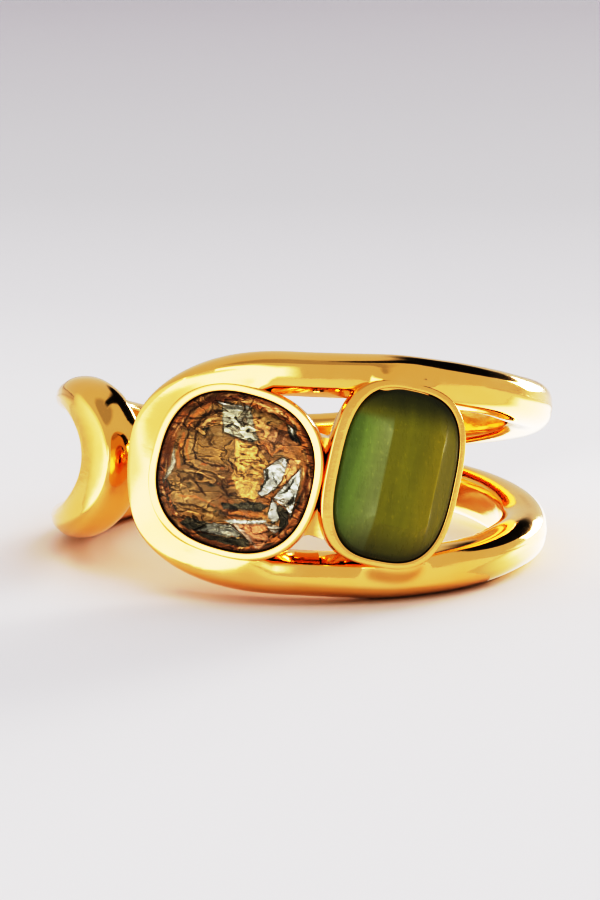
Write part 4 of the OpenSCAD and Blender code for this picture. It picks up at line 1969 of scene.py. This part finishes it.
@dataclass(frozen=True)
class PolishedGold(Finish):
    """Polished gold plate with faint waves and with patches of tone and haze."""

    name: str = "polished_gold"
    light: Color = (1.0, 0.648, 0.262)
    deep: Color = (0.98, 0.605, 0.222)
    smooth: float = 0.065
    hazy: float = 0.13
    patch_scale: float = 350.0
    haze_scale: float = 1400.0
    wave_scale: float = 700.0
    wave_h: float = 0.00006

    def lay(self, bench: Bench) -> None:
        """Sets up the material's nodes.

        Args:
            bench: the material's bench.
        """
        bench.set(Metallic=1.0)
        patches = bench.noise(self.patch_scale, 3)
        bench.feed("Base Color", bench.ramp(patches, ((0.35, self.deep), (0.65, self.light))))
        haze = bench.noise(self.haze_scale, 5)
        bench.feed("Roughness", bench.spread(haze, (0.35, 0.7), (self.smooth, self.hazy)))
        bench.bump(bench.noise(self.wave_scale, 4, (1, 1, 2.5)), 0.10, self.wave_h)


@dataclass(frozen=True)
class ClearGlass(Finish):
    """Clear smoky glass of the brown stone's crown."""

    name: str = "smoky_glass"
    tint: Color = (0.99, 0.965, 0.92)
    streak: float = 0.93
    rough: float = 0.02
    streak_scale: float = 500.0
    haze_scale: float = 2500.0
    wave_scale: float = 900.0
    wave_h: float = 0.00006

    def lay(self, bench: Bench) -> None:
        """Sets up the material's nodes.

        Args:
            bench: the material's bench.
        """
        bench.set(Transmission_Weight=1.0, IOR=1.3)
        streaks = bench.noise(self.streak_scale, 2, (1, 3, 1))
        deeper = tuple(part * self.streak for part in self.tint)
        bench.feed("Base Color", bench.ramp(streaks, ((0.35, deeper), (0.65, self.tint))))
        haze = bench.noise(self.haze_scale, 3)
        bench.feed("Roughness", bench.spread(haze, (0.4, 0.8), (0.0, self.rough)))
        bench.bump(bench.noise(self.wave_scale, 3), 0.10, self.wave_h)


@dataclass(frozen=True)
class CrinkledLeaf(Finish):
    """Crinkled metal leaf behind the brown glass, whose colours are stored on its points, with thin crease
    lines of painted shade and painted highlight over them.
    """

    name: str = "crinkled_leaf"
    crease_scale: float = 800.0
    # Crease lines: a dark stop of painted shade beside a bright stop of painted highlight.
    creases: Stops = (
        (0.44, (1.0, 1.0, 1.0)), (0.475, (0.40, 0.34, 0.30)), (0.492, (0.30, 0.25, 0.2)),
        (0.508, (1.55, 1.5, 1.4)), (0.55, (1.0, 1.0, 1.0)),
    )
    line_scale: float = 1900.0
    # Finer lines of the same painted shade and painted highlight.
    lines: Stops = (
        (0.45, (1.0, 1.0, 1.0)), (0.485, (0.55, 0.50, 0.45)), (0.51, (1.3, 1.3, 1.25)),
        (0.55, (1.0, 1.0, 1.0)),
    )
    grain_scale: float = 2600.0
    grain_h: float = 0.0001

    def lay(self, bench: Bench) -> None:
        """Sets up the material's nodes.

        Args:
            bench: the material's bench.
        """
        bench.set(Metallic=0.6)
        tone = bench.node("ShaderNodeAttribute", attribute_name=LEAF_TONE)
        # Painted crease shade and highlight lines over the stored colours.
        creases = bench.ramp(bench.noise(self.crease_scale, 3, (1, 1, 2.2), 0.8), self.creases)
        lines = bench.ramp(bench.noise(self.line_scale, 2, (1, 1, 2.0), 1.0), self.lines)
        bench.feed("Base Color", bench.times(bench.times(tone.outputs["Color"], creases), lines))
        bench.feed("Roughness", tone.outputs["Alpha"])
        bench.bump(bench.noise(self.grain_scale, 4, (1, 1, 1.6)), 0.25, self.grain_h)


@dataclass(frozen=True)
class SilkyGreen(Finish):
    """Green glass with silk and fine scratches, whose colours, painted sheen, highlight and shade included,
    are stored on its points.
    """

    name: str = "silky_green_glass"
    smooth: float = 0.22
    rough: float = 0.42
    speck_scale: float = 9000.0
    specks: Stops = ((0.60, (1.0, 1.0, 1.0)), (0.78, (1.3, 1.25, 1.3)))
    silk_scale: float = 2400.0
    scratch_scale: float = 3000.0
    scratch_h: float = 0.00004

    def lay(self, bench: Bench) -> None:
        """Sets up the material's nodes.

        Args:
            bench: the material's bench.
        """
        bench.set(IOR=1.45, Coat_Weight=0.5, Coat_Roughness=0.16, Coat_IOR=1.4)
        tone = bench.node("ShaderNodeAttribute", attribute_name=GLASS_TONE)
        specks = bench.ramp(bench.noise(self.speck_scale, 2, (1, 1, 0.4)), self.specks)
        bench.feed("Base Color", bench.times(tone.outputs["Color"], specks))
        silk = bench.noise(self.silk_scale, 4, (3, 3, 0.5))
        bench.feed("Roughness", bench.spread(silk, (0.3, 0.7), (self.smooth, self.rough)))
        bench.bump(bench.noise(self.scratch_scale, 4, (4, 4, 0.5)), 0.10, self.scratch_h)


@dataclass(frozen=True)
class PaleTable(Finish):
    """Matt pale table, painted darker far behind as painted shade where the light falls off, and painted warm
    where the gold throws light on it.
    """

    name: str = "pale_table"
    far: float = 0.6
    # Painted shade: the table darkens toward the back.
    shades: Stops = (
        (0.0, (0.84, 0.81, 0.825)), (0.055, (0.79, 0.765, 0.78)), (0.10, (0.65, 0.63, 0.65)),
        (0.165, (0.53, 0.515, 0.53)), (0.247, (0.47, 0.455, 0.47)), (0.35, (0.41, 0.395, 0.41)),
        (1.0, (0.29, 0.28, 0.29)),
    )
    warm_ring: Pair = (0.010, 0.016)
    warmth: Stops = (
        (0.0, (1.0, 0.88, 0.76)), (0.25, (1.0, 0.94, 0.88)), (0.6, (1.0, 0.985, 0.97)),
        (1.0, (1.0, 1.0, 1.0)),
    )

    def lay(self, bench: Bench) -> None:
        """Sets up the material's nodes.

        Args:
            bench: the material's bench.
        """
        bench.set(Roughness=0.7, Specular_IOR_Level=0.2)
        place = bench.node("ShaderNodeTexCoord").outputs["Object"]
        parts = bench.node("ShaderNodeSeparateXYZ")
        bench.link(place, parts.inputs["Vector"])
        # Painted shade far behind, times the painted warm light near the ring.
        shade = bench.ramp(bench.spread(parts.outputs["Y"], (0.0, self.far), (0.0, 1.0)), self.shades)
        away = bench.node("ShaderNodeVectorMath", operation="LENGTH")
        bench.link(place, away.inputs[0])
        warmth = bench.ramp(bench.spread(away.outputs["Value"], self.warm_ring, (0.0, 1.0)), self.warmth)
        bench.feed("Base Color", bench.times(shade, warmth))


@dataclass(frozen=True)
class CardGlow(Finish):
    """Glow of a card, whose brightness is stored on its points."""

    def lay(self, bench: Bench) -> None:
        """Sets up the material's nodes.

        Args:
            bench: the material's bench.
        """
        bench.set(Roughness=1.0, Base_Color=(0, 0, 0, 1), Specular_IOR_Level=0.0, Emission_Strength=1.0)
        tone = bench.node("ShaderNodeAttribute", attribute_name=GLOW)
        bench.feed("Emission Color", tone.outputs["Color"])


def heading(azimuth: float, elevation: float) -> Vector:
    """Direction from the ring: azimuth 0 is toward the camera and 90 to the right, in degrees."""
    a, e = math.radians(azimuth), math.radians(elevation)
    return Vector((math.sin(a) * math.cos(e), -math.cos(a) * math.cos(e), math.sin(e)))


@dataclass(frozen=True)
class Lamp:
    """Soft rectangular light that faces the ring, placed by degrees as in heading and by metres."""

    name: str
    azimuth: float
    elevation: float
    reach: float
    size: Pair
    radiance: float
    color: Color = (1.0, 1.0, 1.0)
    in_metal: bool = True

    def build(self) -> None:
        """Makes the light, as bright per area as its radiance says."""
        data = bpy.data.lights.new(self.name, "AREA")
        data.shape = "RECTANGLE"
        data.size, data.size_y = self.size
        data.energy = self.radiance * self.size[0] * self.size[1] * math.pi
        data.color = self.color
        made = add_object(self.name, data)
        toward = heading(self.azimuth, self.elevation)
        made.location = toward * self.reach
        made.rotation_euler = toward.to_track_quat("Z", "Y").to_euler()
        made.visible_glossy = self.in_metal


LAMPS = (
    Lamp("key", azimuth=144, elevation=9, reach=1.5, size=(0.80, 0.50), radiance=18.0,
         color=(1.0, 0.98, 0.95)),
    Lamp("sun", azimuth=142, elevation=17, reach=2.0, size=(0.50, 0.50), radiance=26.0,
         color=(1.0, 0.97, 0.93), in_metal=False),
    Lamp("fill", azimuth=0, elevation=88, reach=1.5, size=(2.5, 2.5), radiance=0.64, in_metal=False),
)


@dataclass
class Studio:
    """Plain pale table, soft lights, cards that show in the metal, and the camera."""

    floor_z: float
    lamps: tuple[Lamp, ...] = LAMPS
    table_half: float = 3.0
    camera_mm: float = 200.0
    camera_up: float = 4.3
    roll: float = 2.6
    focal_px: float = 4700.0
    image_w: int = 600
    image_h: int = 900
    middle_px: Pair = (301.7, 455.0)
    sensor_mm: float = 36.0
    clip: Pair = (0.01, 20.0)
    room: float = 0.88
    room_color: Color = (0.98, 0.98, 1.0)
    dim: float = 0.6
    black: float = 0.02
    board: float = 3.0
    board_reach: float = 0.09
    flag_reach: float = 0.42
    ceiling_reach: float = 0.5
    lift: float = 0.0001
    white: float = 3.0
    curve: tuple[Pair, ...] = (
        (0.1, 0.015), (0.225, 0.07), (0.54, 0.38), (0.8, 0.66), (1.2, 0.82), (1.8, 0.91),
    )

    def camera(self) -> None:
        """Makes the camera at the photograph's angle, with the ring where the photograph has it."""
        up_a, roll_a = math.radians(self.camera_up), math.radians(self.roll)
        back = Vector((0, -math.cos(up_a), math.sin(up_a)))
        up = Vector((0, math.sin(up_a), math.cos(up_a)))
        side = Vector((1, 0, 0))
        right = math.cos(roll_a) * side + math.sin(roll_a) * up
        top = -math.sin(roll_a) * side + math.cos(roll_a) * up
        mm_px = self.camera_mm / self.focal_px
        aim = (
            (self.image_w / 2 - self.middle_px[0]) * mm_px * right
            + (self.middle_px[1] - self.image_h / 2) * mm_px * top
        )
        place = back * self.camera_mm + aim
        turn = TILT.turn @ Matrix((right, top, back)).transposed()
        data = bpy.data.cameras.new("camera")
        data.sensor_fit = "VERTICAL"
        data.sensor_height = self.sensor_mm
        data.lens = self.focal_px * data.sensor_height / self.image_h
        data.clip_start, data.clip_end = self.clip
        made = add_object("camera", data)
        made.matrix_world = Matrix.Translation(TILT.turn @ place * MM) @ turn.to_4x4()
        bpy.context.scene.camera = made

    def table(self) -> None:
        """Makes the table that the ring lies on."""
        half = self.table_half
        corners = [(-half, -half), (half, -half), (half, half), (-half, half)]
        mesh = bpy.data.meshes.new("table")
        mesh.from_pydata([(x, y, self.floor_z) for x, y in corners], [], [(0, 1, 2, 3)])
        mesh.materials.append(PaleTable().material())
        add_object("table", mesh)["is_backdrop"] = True

    def card(self, name: str, runs: Runs, reach: float) -> None:
        """Makes a card that shows only in reflections, such as a white board or a dark flag.

        Args:
            name: name of the card.
            runs: runs of spots, each the same length: azimuth and elevation in degrees, and brightness.
            reach: distance in metres; what would lie below the table is laid on it.
        """
        spots = np.array([[(*heading(a, e), level) for a, e, level in run] for run in runs])
        for _ in range(6):
            middle = (spots[1:] + spots[:-1]) / 2
            spots = np.insert(spots, np.arange(1, len(spots)), middle, axis=0).swapaxes(0, 1)
        points = spots[..., :3] * reach / np.linalg.norm(spots[..., :3], axis=2, keepdims=True)
        points *= np.minimum(1, (self.floor_z + self.lift) / np.minimum(points[..., 2:], -1e-9))
        rows, cols = points.shape[:2]
        quads = [
            (k, k + 1, k + cols + 1, k + cols)
            for k in range((rows - 1) * cols) if (k + 1) % cols
        ]
        mesh = bpy.data.meshes.new(name)
        mesh.from_pydata(points.reshape(-1, 3).tolist(), [], quads)
        mesh.materials.append(CardGlow(name).material())
        made = add_object(name, mesh)
        values = np.repeat(spots[..., 3].reshape(-1, 1), 3, axis=1)
        tint_points(made, GLOW, np.column_stack([values, np.ones(len(values))]))
        made.visible_camera = False
        made.visible_diffuse = False
        made.visible_shadow = False
        made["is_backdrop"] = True

    def board_card(self, name: str, columns: list[tuple[float | Pair, ...]]) -> None:
        """Makes a white board close to the ring, which fades into the room at its edges.

        Args:
            name: name of the card.
            columns: from left to right, the azimuth and then each spot's elevation and brightness.
        """
        runs = [[(azimuth, elevation, level) for elevation, level in spots] for azimuth, *spots in columns]
        self.card(name, runs, self.board_reach)

    def left_board(self) -> None:
        """Makes the white board that lights the front from the left."""
        room, full = self.room, self.board
        self.board_card("white_board", [
            (-126, (-9, room), (-6, room), (0, room), (6, room), (14, room), (26, room)),
            (-118, (-6, room), (-3, 1.2), (2, 1.4), (6, 1.3), (14, 1.2), (28, room)),
            (-104, (-5, room), (-2, 1.6), (2, 1.8), (6, 1.5), (15, 1.3), (28, room)),
            (-94, (-9, room), (-4.5, 1.6), (1, 2.0), (5, 1.5), (18, 1.3), (30, room)),
            (-87, (-11, room), (-8, 0.9 * full), (1, 0.9 * full), (4, 1.5), (20, 1.3), (30, room)),
            (-78, (-14, room), (-11, full), (2, full), (6, 1.4), (22, 1.3), (30, room)),
            (-64, (-16, room), (-12, full), (3, full), (7, 1.4), (20, 1.3), (28, room)),
            (-52, (-16, room), (-12, full), (4, full), (8, 1.4), (18, 1.3), (26, room)),
            (-44, (-14, room), (-10, full), (5, full), (8, 1.6), (14, 1.5), (24, room)),
            (-34, (-8, room), (-4, full), (6, full), (9, 2.0), (14, 1.6), (24, room)),
            (-26, (-7, room), (-3, full), (8, full), (12, full), (16, 2.5), (24, room)),
            (-16, (-1, room), (3, full), (10, full), (16, full), (20, 2.0), (26, room)),
            (-5, (2, room), (6, full), (10, full), (16, full), (20, 2.0), (26, room)),
            (2, (2, room), (6, room), (10, room), (16, room), (20, room), (26, room)),
        ])

    def right_board(self) -> None:
        """Makes the white board that lights the rails' right ends."""
        room, full = self.room, self.board
        self.board_card("right_board", [
            (50, (-36, room), (-32, room), (-20, room), (-16, room)),
            (63, (-36, room), (-32, 1.5), (-18, 1.5), (-14, room)),
            (74, (-37, room), (-33, 0.8 * full), (-16, 0.8 * full), (-12, room)),
            (88, (-37, room), (-33, full), (-12, full), (-8, room)),
            (104, (-37, room), (-33, full), (-6, full), (-3, room)),
            (126, (-37, room), (-33, full), (-6, full), (-3, room)),
            (140, (-34, room), (-30, full), (-7, full), (-4, room)),
            (150, (-30, room), (-26, room), (-10, room), (-6, room)),
        ])

    def dark_flag(self) -> None:
        """Makes the dark flag at the back right, from rows of elevation, edges and brightness."""
        room, black = self.room, self.black
        rows = [
            (13, (134, 139, 166, 172), room), (18, (126, 132, 170, 176), black),
            (25, (114, 120, 170, 175), black), (31, (109, 114, 168, 173), black),
            (38, (108, 113, 162, 168), black), (44, (114, 120, 160, 166), black),
            (50, (138, 144, 158, 163), black), (58, (141, 146, 157, 162), black),
            (66, (138, 144, 158, 164), black), (74, (128, 134, 160, 166), self.dim),
        ]
        self.card("dark_flag", [
            [(azimuth, elevation, shade) for azimuth, shade in zip(edges, (room, level, level, room))]
            for elevation, edges, level in rows
        ], self.flag_reach)

    def dim_ceiling(self) -> None:
        """Makes the ceiling over the ring, dimmer than the room."""
        self.card("dim_ceiling", [
            [(azimuth, 60, self.room), *((azimuth, elevation, self.dim) for elevation in (68, 78, 89))]
            for azimuth in range(0, 361, 30)
        ], self.ceiling_reach)

    def world(self) -> None:
        """Sets the soft light of the room."""
        made = bpy.data.worlds.new("room")
        bpy.context.scene.world = made
        made.use_nodes = True
        sky = made.node_tree.nodes["Background"]
        sky.inputs["Color"].default_value = (*self.room_color, 1)
        sky.inputs["Strength"].default_value = self.room

    def tone(self) -> None:
        """Sets a photographic tone curve: deep shadows and soft highlights."""
        view = bpy.context.scene.view_settings
        view.view_transform = "Standard"
        view.use_curve_mapping = True
        curve = view.curve_mapping
        curve.white_level = (self.white, self.white, self.white)
        line = curve.curves[3]
        for level, shown in self.curve:
            line.points.new(level / self.white, shown)
        curve.update()

    def build(self) -> None:
        """Makes the camera, the table, the lights and the cards."""
        self.camera()
        self.table()
        self.world()
        for lamp in self.lamps:
            lamp.build()
        self.left_board()
        self.right_board()
        self.dark_flag()
        self.dim_ceiling()
        self.tone()


BROWN_SEAT = Seat(
    angle=-14.4, height=-0.02, reach=10.72, squareness=2.44, half_w=3.20, half_h=3.15, lean=-11.6, rim=0.34,
)
GREEN_SEAT = Seat(
    angle=20.3, height=0.13, reach=10.88, squareness=2.93, half_w=2.60, half_h=3.47, lean=-10.0, rim=0.28,
    inset=0.09,
)


def main() -> None:
    """Builds the ring and its studio."""
    logging.basicConfig(level=logging.INFO, format="%(name)s %(message)s")
    band = Band()
    gold = [PolishedGold().material()]
    parts: list[tuple[SubAssembly, list[Material]]] = [
        (BandShape(band, BROWN_SEAT, GREEN_SEAT), gold),
        (Cup("brown_seat", BROWN_SEAT, band.bore_r), gold),
        (Cup("green_seat", GREEN_SEAT, band.bore_r), gold),
        (Web(band.bore_r), gold),
        (Fork(band), gold),
        (BrownStone(BROWN_SEAT), [ClearGlass().material(), CrinkledLeaf().material()]),
        (GreenStone(GREEN_SEAT), [SilkyGreen().material()]),
    ]
    for part, materials in parts:
        piece = part.build()
        part.dress(piece, materials)
        LOG.info("%s: %d faces", piece.name, len(piece.data.polygons))
    low = min(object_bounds()[0].z, cad_box[0].z)
    Studio(low).build()


if __name__ == "__main__":
    main()
